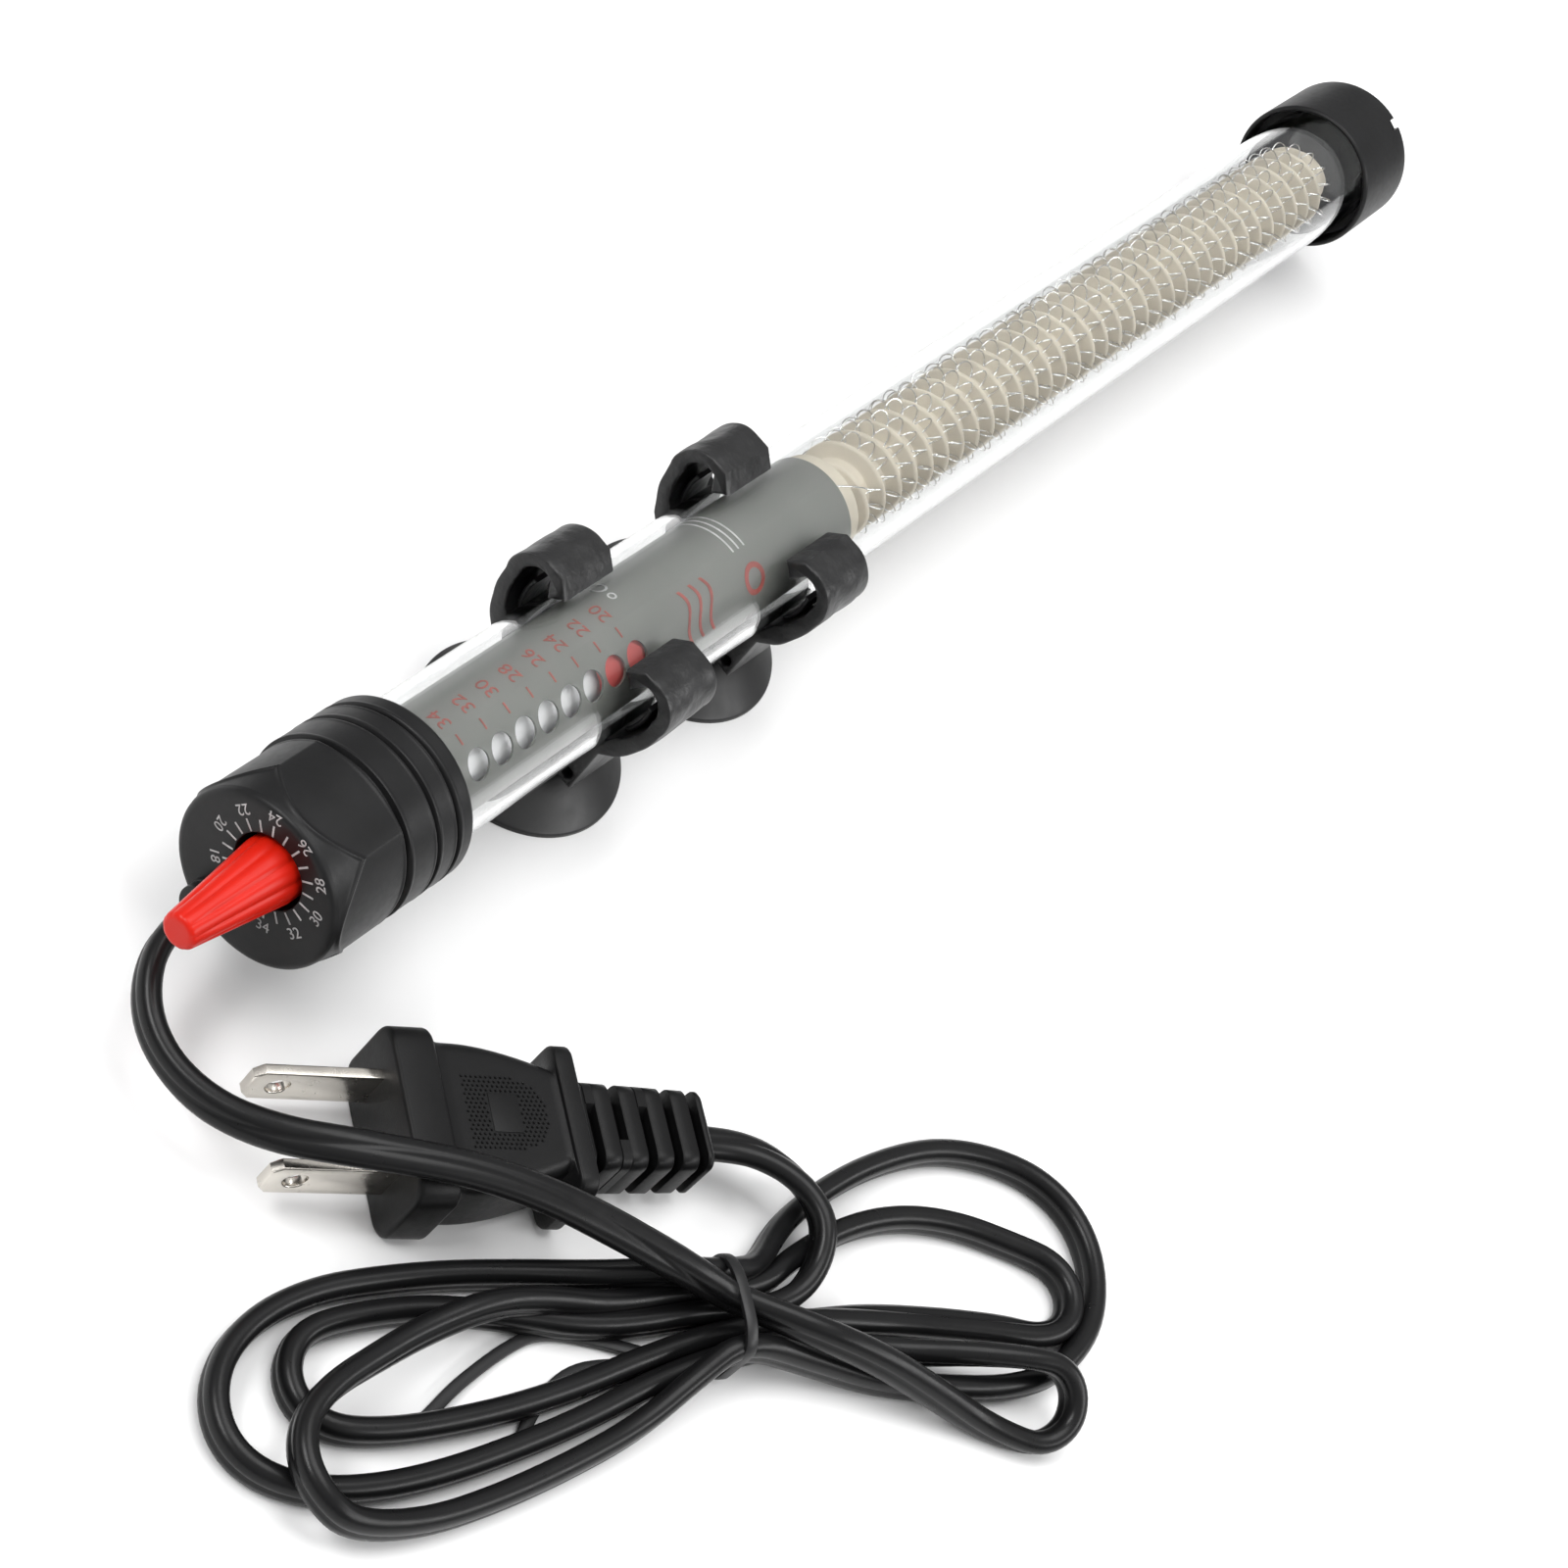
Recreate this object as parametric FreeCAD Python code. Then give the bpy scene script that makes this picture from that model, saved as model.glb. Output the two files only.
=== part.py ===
"""Submersible aquarium heater: a glass tube with a ceramic heating element, a thermostat with a dial,
two sliding suction-cup clips, and a flat cord in a tied hank with a two-blade plug.

+X runs along the glass tube from the head to the end cap, +Z up. The suction cups stand on Z = 0.
"""

import FreeCAD, Part

import math
import os

V = FreeCAD.Vector
X_DIR = V(1, 0, 0)
Z_DIR = V(0, 0, 1)

# ---------------------------------------------------------------- driving dimensions, mm
TUBE_R = 10.5                 # outer radius of the glass
TUBE_WALL = 1.1
AXIS_Z = 21.0                 # height of the tube's axis over the cups' rims
OVERALL = 315.6               # knob tip to end cap

RUN_GAP = 0.05                # radial running clearance
PIECE_GAP = 0.3               # gap between pieces of different bodies

KNOB_TIP_X = -OVERALL / 2
KNOB_OUT = 16.3               # the knob stands this far out of the head's face
FACE_X = KNOB_TIP_X + KNOB_OUT

# head: soft pentagon in front, ringed collar behind
HEAD_CORNERS = 5
HEAD_CORNER_R = 13.05
HEAD_FLAT_R = 12.42           # middle of a bulged flat
HEAD_FIRST_CORNER = 52.0      # degrees from +Y
HEAD_FACE_R = 11.7
HEAD_EDGE = 0.6               # rounding at the face
HEAD_CONE_L = 6.0
HEAD_FRONT_L = 14.1           # face to the line before the collar
HEAD_L = 27.1
HEAD_WALL = 8.5               # front wall, face to the glass
COLLAR_R = 12.9
GROOVE_R = 12.2
GROOVE_W = 1.2
GROOVE_FROM_FACE = (14.1, 19.8, 23.8)

# dial, knob and spindle stand off the tube's axis
DIAL_Y = -0.6
DIAL_DZ = 3.2
WELL_R = 5.2
WELL_DEPTH = 5.0
KNOB_R = 4.55
KNOB_TIP_R = 2.45
KNOB_FLUTES = 10
KNOB_FLUTE_R = 0.95
SPINDLE_R = 1.5

# cord outlet
CORD_R = 2.0                  # round tube of the flat cord's section area
GLAND_Y = 2.6
GLAND_DZ = -8.4
GLAND_R = 3.1
GLAND_NECK_R = 2.6
GLAND_OUT = 2.5

# glass
GLASS_START = FACE_X + HEAD_WALL + 0.5
CAP_MOUTH_X = 141.0
DOME_X = 148.0
DOME_L = 5.5

STOPPER_END = -123.6
SEAL_R = 2.9
SEAL_START = -125.4

# sleeve with the row of windows
SLEEVE_R = 8.2
SLEEVE_WALL = 0.35
SLEEVE_END = -20.6
WINDOWS = 8
WINDOW_R = 2.08
WINDOW_STEP = 4.92
WINDOW_FIRST = -107.4
WINDOW_ANGLE = 126.0          # degrees from +Y
BACKING_R = 6.6
BACKING_WALL = 0.3
BACKING_END = -69.5
BACKING_SPREAD = 25.0

# thermostat: heights are relative to the tube's axis
PLATE_START = -118.0
PLATE_TOP = -4.2
PLATE_T = 1.0
PLATE_HALF = 5.3
LIP_HALF = 4.3
LIP_TOP = -1.6
BRACKET_X = -24.4
BRACKET_T = 1.2
BRACKET_R = 3.2
STRIP_TOP = -1.0
STRIP_T = 0.3
STRIP_HALF = 2.2
STRIP_ROOT = -97.7
STRIP_TIP = -52.5
ROOT_BLOCK_START = -104.0
ROOT_BLOCK_HALF = 2.8
SCREW_R = 1.3
SCREW_X = -101.0
SCREW_HEAD_T = 0.8
CONTACT_R = 0.9
CONTACT_FROM_TIP = 1.5
CONTACT_T = 0.5
FIXED_CONTACT_T = 0.3
CONTACT_GAP = 0.15
ARM_HALF = 1.8
ARM_T = 0.35
ARM_REACH = 3.5
ARM_END = -44.0
ARM_BLOCK_L = 5.5
ARM_BLOCK_HALF = 2.4
MAGNET_START = -58.0
MAGNET_L = 4.5
MAGNET_HALF = 1.8
MAGNET_T = 1.0
LAMP_R = 1.6
LAMP_START = -42.5
LAMP_END = -34.5
LAMP_Y = 2.9                  # lamp and resistor lie each side of the middle
RESISTOR_R = 1.1
RESISTOR_START = -41.5
RESISTOR_END = -35.0
WIRE_R = 0.7
WIRE_Y = 5.4
WIRE_DZ = -1.9
LIVE_END = -49.5

# temperature indicator
INDICATOR_EDGE = -80.3        # head-side edge at 23 degrees
INDICATOR_L = 43.0
INDICATOR_R = 7.5
INDICATOR_WALL = 0.5
INDICATOR_SPREAD = 22.0
HUB_R = 2.4
HUB_L = 4.0
WEB_T = 1.2

# heating element
FORMER_START = -21.0
FORMER_CORE_R = 5.0
FORMER_BORE_R = 2.0
FORMER_RIDGE_R = 7.1
FORMER_FLANGE_R = 7.6
FORMER_FLANGE_L = 3.6
RIDGE_PITCH = 4.46
RIDGES = 36
RIDGE_W = 1.1
COIL_MINOR_R = 0.7

# end cap
END_CAP_R = 12.8
END_CAP_FAR_R = 12.65
END_WALL = 3.0
MOUTH_GAP_R = 11.9
MOUTH_GAP_L = 5.0
GRIP_L = 3.5
NOTCH_ANGLE = 107.6
NOTCH_W = 1.5
NOTCH_DEPTH = 1.0
CUSHION_R = 6.0

# clips and suction cups
CLIP_W = 11.5
CLIP_FRONT_X = -72.5
CLIP_REAR_X = -34.2
CLIP_BORE = TUBE_R + RUN_GAP
CLIP_BOTTOM = -14.2
CLIP_OUTER = [(11.0, -5.9), (12.9, -3.9), (14.9, 0.3), (15.6, 4.6), (14.5, 9.4), (10.7, 11.3), (8.2, 11.2)]
CLIP_INNER = [(9.7, 9.0), (11.7, 8.7), (12.9, 5.6), (12.6, 2.2), (11.2, -0.8)]
PAD_FROM = 55.0               # the pad's ends on the glass, degrees from +Y
PAD_TO = 39.0
TROUGH_END = -22.0
RELIEF_HOLE_R = 0.9
RELIEF_HOLE_Y = 9.2
RELIEF_HOLE_DZ = -12.4
CUP_R = 16.0
CUP_RIM = 0.7
CUP_TOP = 6.3
CUP_CURVE = (10.6, 4.5)       # radius and height half way up the dome
CUP_INNER_R = 15.0
CUP_INNER_TOP = 5.0
CUP_INNER_CURVE = (8.8, 3.6)
CUP_NECK_R = 2.2
CUP_DISC_R = 4.0
CUP_DISC_Z = 8.1
CUP_DISC_T = 1.0

# cord hank and tie
TIE_X = -118.0
TIE_Y = -77.0
TIE_BEARING = -33.0
HANK_H = 9.0
LEFT_LOBE = [
    (-118.3, -70.1),
    (-124.6, -64.6),
    (-147.0, -47.4),
    (-170.0, -38.6),
    (-186.2, -49.0),
    (-178.0, -69.0),
    (-152.0, -78.6),
    (-124.4, -79.5),
]
LEFT_ARCS = 3
RIGHT_LOBE = [
    (-117.7, -83.9),
    (-111.6, -74.5),
    (-92.0, -70.6),
    (-74.0, -74.0),
    (-52.6, -94.0),
    (-62.0, -112.4),
    (-82.0, -121.2),
    (-90.4, -119.4),
]
RIGHT_ARCS = 2
WAIST_HALF = 6.4
WAIST_L = 8.0
WAIST_OVERLAP = 2.0           # the waist runs on into each lobe
WAIST_BOTTOM = 1.0
WAIST_TOP = 11.0
TIE_W = 1.8
TIE_T = 0.9
TIE_GAP = 0.1

# plug
PLUG_X = -140.8               # middle of the plug's face
PLUG_Y = -32.1
PLUG_BEARING = -35.0
PLUG_Z = 7.0
FLANGE_L = 6.0
FLANGE_W = 24.6
FLANGE_H = 14.0
BARREL_HALF = 10.35
BARREL_WAIST = 7.6
BARREL_L = 17.0
BARREL_H = 12.4
REAR_L = 2.8
REAR_W = 21.0
REAR_H = 13.0
FLANGE_ROUND = 2.5
REAR_ROUND = 2.0
BARREL_BULGE_X = 10.0         # from the flange to the widest stretch's end
BARREL_BULGE_IN = 0.7
RELIEF_L = 19.4
RELIEF_HALF = 6.2
RELIEF_END_HALF = 5.6
RELIEF_H = 9.6
RELIEF_SLOTS = 5
FIRST_SLOT = 0.35             # share of a slot's step before it
SLOT_W = 1.3
SLOT_DEPTH = 1.9
BLADE_PITCH = 12.7
BLADE_L = 17.0
BLADE_ROOT = 3.0              # length held in the plug
BLADE_W = 6.35
BLADE_T = 1.5
BLADE_TIP = 1.2
BLADE_HOLE_R = 1.6
BLADE_HOLE_FROM_TIP = 4.0

# the cord's free stretches, mm
LEAD_ROUTE = [
    (FACE_X - GLAND_OUT, GLAND_Y, AXIS_Z + GLAND_DZ),
    (-149.0, 2.6, 12.4),
    (-154.5, 0.4, 11.3),
    (-158.6, -4.4, 10.0),
    (-160.4, -10.8, 9.6),
    (-160.2, -18.0, 11.2),
    (-157.6, -25.2, 14.2),
    (-152.6, -32.0, 17.0),
    (-146.4, -38.4, 18.3),
    (-140.2, -44.8, 18.2),
    (-134.2, -52.2, 16.4),
    (-128.8, -60.0, 14.0),
    (-124.4, -66.8, 12.2),
    (-120.9, -71.8, 10.6),
]
TAIL_ROUTE = [
    (-103.8, -58.0, 7.0),
    (-99.9, -60.9, 7.0),
    (-96.8, -64.6, 7.4),
    (-95.2, -69.0, 7.7),
    (-95.0, -73.6, 7.8),
]


# ---------------------------------------------------------------- helpers
def cylinder(radius, start, end, y=0.0, dz=0.0):
    """Cylinder along X, placed relative to the tube's axis."""
    return Part.makeCylinder(radius, end - start, V(start, y, AXIS_Z + dz), X_DIR)


def ring(outer, inner, start, end, y=0.0, dz=0.0):
    return cylinder(outer, start, end, y, dz).cut(cylinder(inner, start, end, y, dz))


def block(x0, x1, y0, y1, dz0, dz1):
    """Box given by its limits, heights relative to the tube's axis."""
    return Part.makeBox(x1 - x0, y1 - y0, dz1 - dz0, V(x0, y0, AXIS_Z + dz0))


def turned(profile):
    """Solid of revolution about the tube's axis from (x, radius) points."""
    wire = Part.makePolygon([V(x, 0, AXIS_Z + r) for x, r in profile + profile[:1]])
    return Part.Face(wire).revolve(V(0, 0, AXIS_Z), X_DIR, 360)


def on_circle(radius, degrees):
    a = math.radians(degrees)
    return radius * math.cos(a), radius * math.sin(a)


def sector(outer, inner, start, end, middle, spread):
    """Curved strip round the tube's axis, spread degrees to each side of its middle."""
    solid = Part.makeCylinder(outer, end - start, V(0, 0, 0), Z_DIR, 2 * spread)
    solid = solid.cut(Part.makeCylinder(inner, end - start, V(0, 0, 0), Z_DIR, 360))
    solid.rotate(V(0, 0, 0), Z_DIR, middle - spread)
    solid.rotate(V(0, 0, 0), V(1, 1, 1), 120)
    solid.translate(V(start, 0, AXIS_Z))
    return solid


def arc(a, b, c):
    return Part.Arc(V(*a), V(*b), V(*c)).toShape()


def line(a, b):
    return Part.LineSegment(V(*a), V(*b)).toShape()


def rounded(shape, radius, direction):
    """Round the edges that run along a direction."""
    edges = [e for e in shape.Edges if abs(e.tangentAt(e.FirstParameter).dot(direction)) > 0.99]
    return shape.makeFillet(radius, edges)


def cord_tube(name, route):
    """Straight runs joined by tangent arcs, each as large as its two runs allow."""
    points = [V(*p) for p in route]
    edges = []
    length = 0.0
    radii = []
    last = points[0]
    for before, corner, after in zip(points, points[1:], points[2:]):
        back = before - corner
        ahead = after - corner
        reach = 0.45 * min(back.Length, ahead.Length)
        half_turn = (math.pi - back.getAngle(ahead)) / 2
        back.normalize()
        ahead.normalize()
        radius = reach / math.tan(half_turn)
        start = corner + back * reach
        end = corner + ahead * reach
        bisector = back + ahead
        bisector.normalize()
        middle = corner + bisector * (radius / math.cos(half_turn) - radius)
        edges.append(Part.LineSegment(last, start).toShape())
        edges.append(Part.Arc(start, middle, end).toShape())
        length += (start - last).Length + 2 * half_turn * radius
        radii.append(radius)
        last = end
    edges.append(Part.LineSegment(last, points[-1]).toShape())
    length += (points[-1] - last).Length
    path = Part.Wire(edges)
    section = Part.Wire([Part.Circle(points[0], points[1] - points[0], CORD_R).toShape()])
    tube = path.makePipeShell([section], True, False)
    print(name, "length", round(length, 1), "radii", [round(r, 1) for r in radii])
    print(name, "volume", round(tube.Volume, 1), "of", round(math.pi * CORD_R ** 2 * length, 1))
    return tube


# ---------------------------------------------------------------- head
def pentagon_prism():
    """Soft pentagon with bulged flats, the length of the head's front part."""
    step = 360.0 / HEAD_CORNERS
    edges = []
    for k in range(HEAD_CORNERS):
        at = HEAD_FIRST_CORNER + k * step
        stations = ((HEAD_CORNER_R, at), (HEAD_FLAT_R, at + step / 2), (HEAD_CORNER_R, at + step))
        a, b, c = [on_circle(r, t) for r, t in stations]
        edges.append(arc((FACE_X, *a), (FACE_X, *b), (FACE_X, *c)))
    prism = Part.Face(Part.Wire(edges)).extrude(V(HEAD_FRONT_L, 0, 0))
    prism.translate(V(0, 0, AXIS_Z))
    return prism


def head_cap():
    front = turned([
        (FACE_X, 0),
        (FACE_X, HEAD_FACE_R),
        (FACE_X + HEAD_EDGE, HEAD_FACE_R + HEAD_EDGE),
        (FACE_X + HEAD_CONE_L, HEAD_CORNER_R),
        (FACE_X + HEAD_FRONT_L, HEAD_CORNER_R),
        (FACE_X + HEAD_FRONT_L, 0),
    ]).common(pentagon_prism())
    rear = FACE_X + HEAD_L
    collar = turned([
        (FACE_X + HEAD_FRONT_L, 0),
        (FACE_X + HEAD_FRONT_L, COLLAR_R),
        (rear - HEAD_EDGE, COLLAR_R),
        (rear, COLLAR_R - HEAD_EDGE),
        (rear, 0),
    ])
    head = front.fuse(collar)
    for start in GROOVE_FROM_FACE:
        x = FACE_X + start - GROOVE_W / 2
        head = head.cut(ring(COLLAR_R + 1, GROOVE_R, x, x + GROOVE_W))
    head = head.cut(cylinder(TUBE_R, FACE_X + HEAD_WALL, rear))
    head = head.cut(cylinder(WELL_R, FACE_X, FACE_X + WELL_DEPTH, DIAL_Y, DIAL_DZ))
    head = head.cut(cylinder(SPINDLE_R + RUN_GAP, FACE_X, FACE_X + HEAD_WALL, DIAL_Y, DIAL_DZ))
    return head.cut(cylinder(GLAND_NECK_R, FACE_X, FACE_X + HEAD_WALL, GLAND_Y, GLAND_DZ))


def cord_gland():
    neck = cylinder(GLAND_NECK_R, FACE_X - GLAND_OUT, FACE_X + HEAD_WALL, GLAND_Y, GLAND_DZ)
    return neck.fuse(cylinder(GLAND_R, FACE_X - GLAND_OUT, FACE_X, GLAND_Y, GLAND_DZ))


def adjusting_knob():
    """Tapered red knob with flutes, standing in its well."""
    foot = FACE_X + WELL_DEPTH - PIECE_GAP
    at_face = FACE_X
    centre = V(KNOB_TIP_X, DIAL_Y, AXIS_Z + DIAL_DZ)
    knob = Part.makeCone(KNOB_TIP_R, KNOB_R, at_face - KNOB_TIP_X, centre, X_DIR)
    knob = knob.fuse(cylinder(KNOB_R, at_face, foot, DIAL_Y, DIAL_DZ))
    slope = math.atan2(KNOB_R - KNOB_TIP_R, at_face - KNOB_TIP_X)
    for k in range(KNOB_FLUTES):
        a = math.radians(360.0 * k / KNOB_FLUTES)
        outward = V(0, math.cos(a), math.sin(a))
        start = centre + outward * (KNOB_TIP_R + 2 * KNOB_FLUTE_R / 3) - X_DIR
        along = X_DIR * math.cos(slope) + outward * math.sin(slope)
        knob = knob.cut(Part.makeCylinder(KNOB_FLUTE_R, KNOB_OUT + 1, start, along))
    return knob.cut(cylinder(SPINDLE_R, at_face, foot, DIAL_Y, DIAL_DZ))


# ---------------------------------------------------------------- tube and what closes it
def glass_tube():
    inner = TUBE_R - TUBE_WALL
    solid = cylinder(TUBE_R, GLASS_START, DOME_X).fuse(dome(TUBE_R, DOME_L))
    hollow = cylinder(inner, GLASS_START, DOME_X).fuse(dome(inner, DOME_L - TUBE_WALL))
    return solid.cut(hollow).removeSplitter()


def dome(radius, height):
    """Flattened end of the glass: a cap of a sphere of that height."""
    edges = [
        line((DOME_X, 0, 0), (DOME_X, 0, radius)),
        arc((DOME_X, 0, radius), (DOME_X + height * 0.8, 0, radius * 0.6), (DOME_X + height, 0, 0)),
        line((DOME_X + height, 0, 0), (DOME_X, 0, 0)),
    ]
    solid = Part.Face(Part.Wire(edges)).revolve(V(0, 0, 0), X_DIR, 360)
    solid.translate(V(0, 0, AXIS_Z))
    return solid


def tube_stopper():
    start = GLASS_START + PIECE_GAP
    stopper = cylinder(TUBE_R - TUBE_WALL, start, STOPPER_END)
    stopper = stopper.cut(cylinder(SPINDLE_R + RUN_GAP, start, STOPPER_END, DIAL_Y, DIAL_DZ))
    return stopper.cut(cylinder(SEAL_R, SEAL_START, STOPPER_END, DIAL_Y, DIAL_DZ))


def end_cap():
    far = OVERALL / 2
    cap = turned([
        (CAP_MOUTH_X, 0),
        (CAP_MOUTH_X, END_CAP_R - HEAD_EDGE / 2),
        (CAP_MOUTH_X + HEAD_EDGE / 2, END_CAP_R),
        (far - HEAD_EDGE, END_CAP_FAR_R),
        (far, END_CAP_FAR_R - HEAD_EDGE),
        (far, 0),
    ])
    grip = CAP_MOUTH_X + MOUTH_GAP_L
    cap = cap.cut(cylinder(MOUTH_GAP_R, CAP_MOUTH_X, grip))
    cap = cap.cut(cylinder(TUBE_R, grip, grip + GRIP_L))
    cap = cap.cut(cylinder(TUBE_R + PIECE_GAP, grip + GRIP_L, far - END_WALL))
    notch = block(far - END_WALL, far, -NOTCH_W / 2, NOTCH_W / 2, END_CAP_R - NOTCH_DEPTH, END_CAP_R)
    notch.rotate(V(0, 0, AXIS_Z), X_DIR, NOTCH_ANGLE - 90)
    return cap.cut(notch)


def end_cushion():
    """Pad between the end of the glass and the end wall."""
    return cylinder(CUSHION_R, DOME_X + DOME_L + PIECE_GAP, OVERALL / 2 - END_WALL)


# ---------------------------------------------------------------- inside the tube
def spindle():
    return cylinder(SPINDLE_R, FACE_X, BRACKET_X + BRACKET_T + PIECE_GAP, DIAL_Y, DIAL_DZ)


def spindle_seal():
    return ring(SEAL_R, SPINDLE_R + RUN_GAP, SEAL_START, STOPPER_END, DIAL_Y, DIAL_DZ)


def label_sleeve():
    sleeve = ring(SLEEVE_R, SLEEVE_R - SLEEVE_WALL, STOPPER_END + PIECE_GAP, SLEEVE_END)
    for k in range(WINDOWS):
        y, z = on_circle(1.0, WINDOW_ANGLE)
        centre = V(WINDOW_FIRST + k * WINDOW_STEP, 0, AXIS_Z)
        sleeve = sleeve.cut(Part.makeCylinder(WINDOW_R, SLEEVE_R + 1, centre, V(0, y, z)))
    return sleeve


def window_backing():
    start = WINDOW_FIRST - WINDOW_STEP
    return sector(BACKING_R, BACKING_R - BACKING_WALL, start, BACKING_END, WINDOW_ANGLE, BACKING_SPREAD)


def temperature_indicator():
    """Red curved strip with a web to a hub on the spindle."""
    end = INDICATOR_EDGE + INDICATOR_L
    inner = INDICATOR_R - INDICATOR_WALL
    strip = sector(INDICATOR_R, inner, INDICATOR_EDGE, end, WINDOW_ANGLE, INDICATOR_SPREAD)
    hub = cylinder(HUB_R, end - HUB_L, end, DIAL_Y, DIAL_DZ)
    y, z = on_circle((INDICATOR_R + inner) / 2, WINDOW_ANGLE)
    reach = V(0, y - DIAL_Y, z - DIAL_DZ)
    web = Part.makeBox(HUB_L, reach.Length, WEB_T, V(0, 0, -WEB_T / 2))
    web.rotate(V(0, 0, 0), X_DIR, math.degrees(math.atan2(reach.z, reach.y)))
    web.translate(V(end - HUB_L, DIAL_Y, AXIS_Z + DIAL_DZ))
    piece = strip.fuse(hub).fuse(web)
    return piece.cut(cylinder(SPINDLE_R + RUN_GAP, end - HUB_L, end, DIAL_Y, DIAL_DZ)).removeSplitter()


def spindle_bracket():
    """End plate of the thermostat frame that holds the spindle's end."""
    rear = BRACKET_X + BRACKET_T
    plate = block(BRACKET_X, rear, -BRACKET_R, BRACKET_R, PLATE_TOP, DIAL_DZ)
    plate = plate.fuse(cylinder(BRACKET_R, BRACKET_X, rear, DIAL_Y, DIAL_DZ))
    return plate.cut(cylinder(SPINDLE_R + RUN_GAP, BRACKET_X, rear, DIAL_Y, DIAL_DZ))


def thermostat_frame():
    end = BRACKET_X + BRACKET_T
    plate = block(PLATE_START, end, -PLATE_HALF, PLATE_HALF, PLATE_TOP - PLATE_T, PLATE_TOP)
    lip = block(PLATE_START, PLATE_START + PLATE_T, -LIP_HALF, LIP_HALF, PLATE_TOP, LIP_TOP)
    return plate.fuse(lip).removeSplitter()


def bimetal_block():
    end = STRIP_ROOT - PIECE_GAP
    foot = block(ROOT_BLOCK_START, end, -ROOT_BLOCK_HALF, ROOT_BLOCK_HALF, PLATE_TOP, STRIP_TOP)
    return foot.fuse(cylinder_z(SCREW_R, SCREW_X, 0.0, STRIP_TOP, STRIP_TOP + SCREW_HEAD_T))


def cylinder_z(radius, x, y, dz0, dz1):
    return Part.makeCylinder(radius, dz1 - dz0, V(x, y, AXIS_Z + dz0), Z_DIR)


def bimetal_strip():
    return block(STRIP_ROOT, STRIP_TIP, -STRIP_HALF, STRIP_HALF, STRIP_TOP - STRIP_T, STRIP_TOP)


def moving_contact():
    return cylinder_z(CONTACT_R, STRIP_TIP - CONTACT_FROM_TIP, 0.0, STRIP_TOP, STRIP_TOP + CONTACT_T)


def fixed_contact():
    low = STRIP_TOP + CONTACT_T + CONTACT_GAP
    return cylinder_z(CONTACT_R, STRIP_TIP - CONTACT_FROM_TIP, 0.0, low, low + FIXED_CONTACT_T)


def contact_arm():
    low = STRIP_TOP + CONTACT_T + CONTACT_GAP + FIXED_CONTACT_T
    return block(STRIP_TIP - ARM_REACH, ARM_END, -ARM_HALF, ARM_HALF, low, low + ARM_T)


def contact_block():
    top = STRIP_TOP + CONTACT_T + CONTACT_GAP + FIXED_CONTACT_T
    return block(ARM_END - ARM_BLOCK_L, ARM_END, -ARM_BLOCK_HALF, ARM_BLOCK_HALF, PLATE_TOP, top)


def snap_magnet():
    end = MAGNET_START + MAGNET_L
    return block(MAGNET_START, end, -MAGNET_HALF, MAGNET_HALF, PLATE_TOP, PLATE_TOP + MAGNET_T)


def indicator_lamp():
    dz = PLATE_TOP + LAMP_R
    bulb = cylinder(LAMP_R, LAMP_START, LAMP_END, -LAMP_Y, dz)
    return bulb.fuse(Part.makeSphere(LAMP_R, V(LAMP_END, -LAMP_Y, AXIS_Z + dz)))


def lamp_resistor():
    return cylinder(RESISTOR_R, RESISTOR_START, RESISTOR_END, LAMP_Y, PLATE_TOP + RESISTOR_R)


def lead_wire(side, end):
    return cylinder(WIRE_R, STOPPER_END, end, side * WIRE_Y, WIRE_DZ)


def insulator_disc():
    return cylinder(SLEEVE_R - SLEEVE_WALL, BRACKET_X + BRACKET_T + 2 * PIECE_GAP, FORMER_START)


def ceramic_former():
    """Hollow ribbed rod: a plain flange, then evenly spaced ridges."""
    flange_end = FORMER_START + FORMER_FLANGE_L
    profile = [
        (FORMER_START, FORMER_BORE_R),
        (FORMER_START, FORMER_FLANGE_R),
        (flange_end, FORMER_FLANGE_R),
        (flange_end, FORMER_CORE_R),
    ]
    for k in range(RIDGES - 1):
        x = flange_end + (k + 1) * RIDGE_PITCH - RIDGE_W
        profile += [
            (x - RIDGE_W / 3, FORMER_CORE_R),
            (x, FORMER_RIDGE_R),
            (x + RIDGE_W, FORMER_RIDGE_R),
            (x + RIDGE_W * 4 / 3, FORMER_CORE_R),
        ]
    profile.append((profile[-1][0] + RIDGE_PITCH / 2, FORMER_CORE_R))
    profile.append((profile[-1][0], FORMER_BORE_R))
    return turned(profile)


def heating_coil():
    """One ring of coiled wire in each groove of the former."""
    first = FORMER_START + FORMER_FLANGE_L + (RIDGE_PITCH - RIDGE_W) / 2
    radius = FORMER_CORE_R + COIL_MINOR_R
    rings = []
    for k in range(RIDGES - 1):
        centre = V(first + k * RIDGE_PITCH, 0, AXIS_Z)
        rings.append(Part.makeTorus(radius, COIL_MINOR_R, centre, X_DIR))
    return Part.makeCompound(rings)


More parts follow.
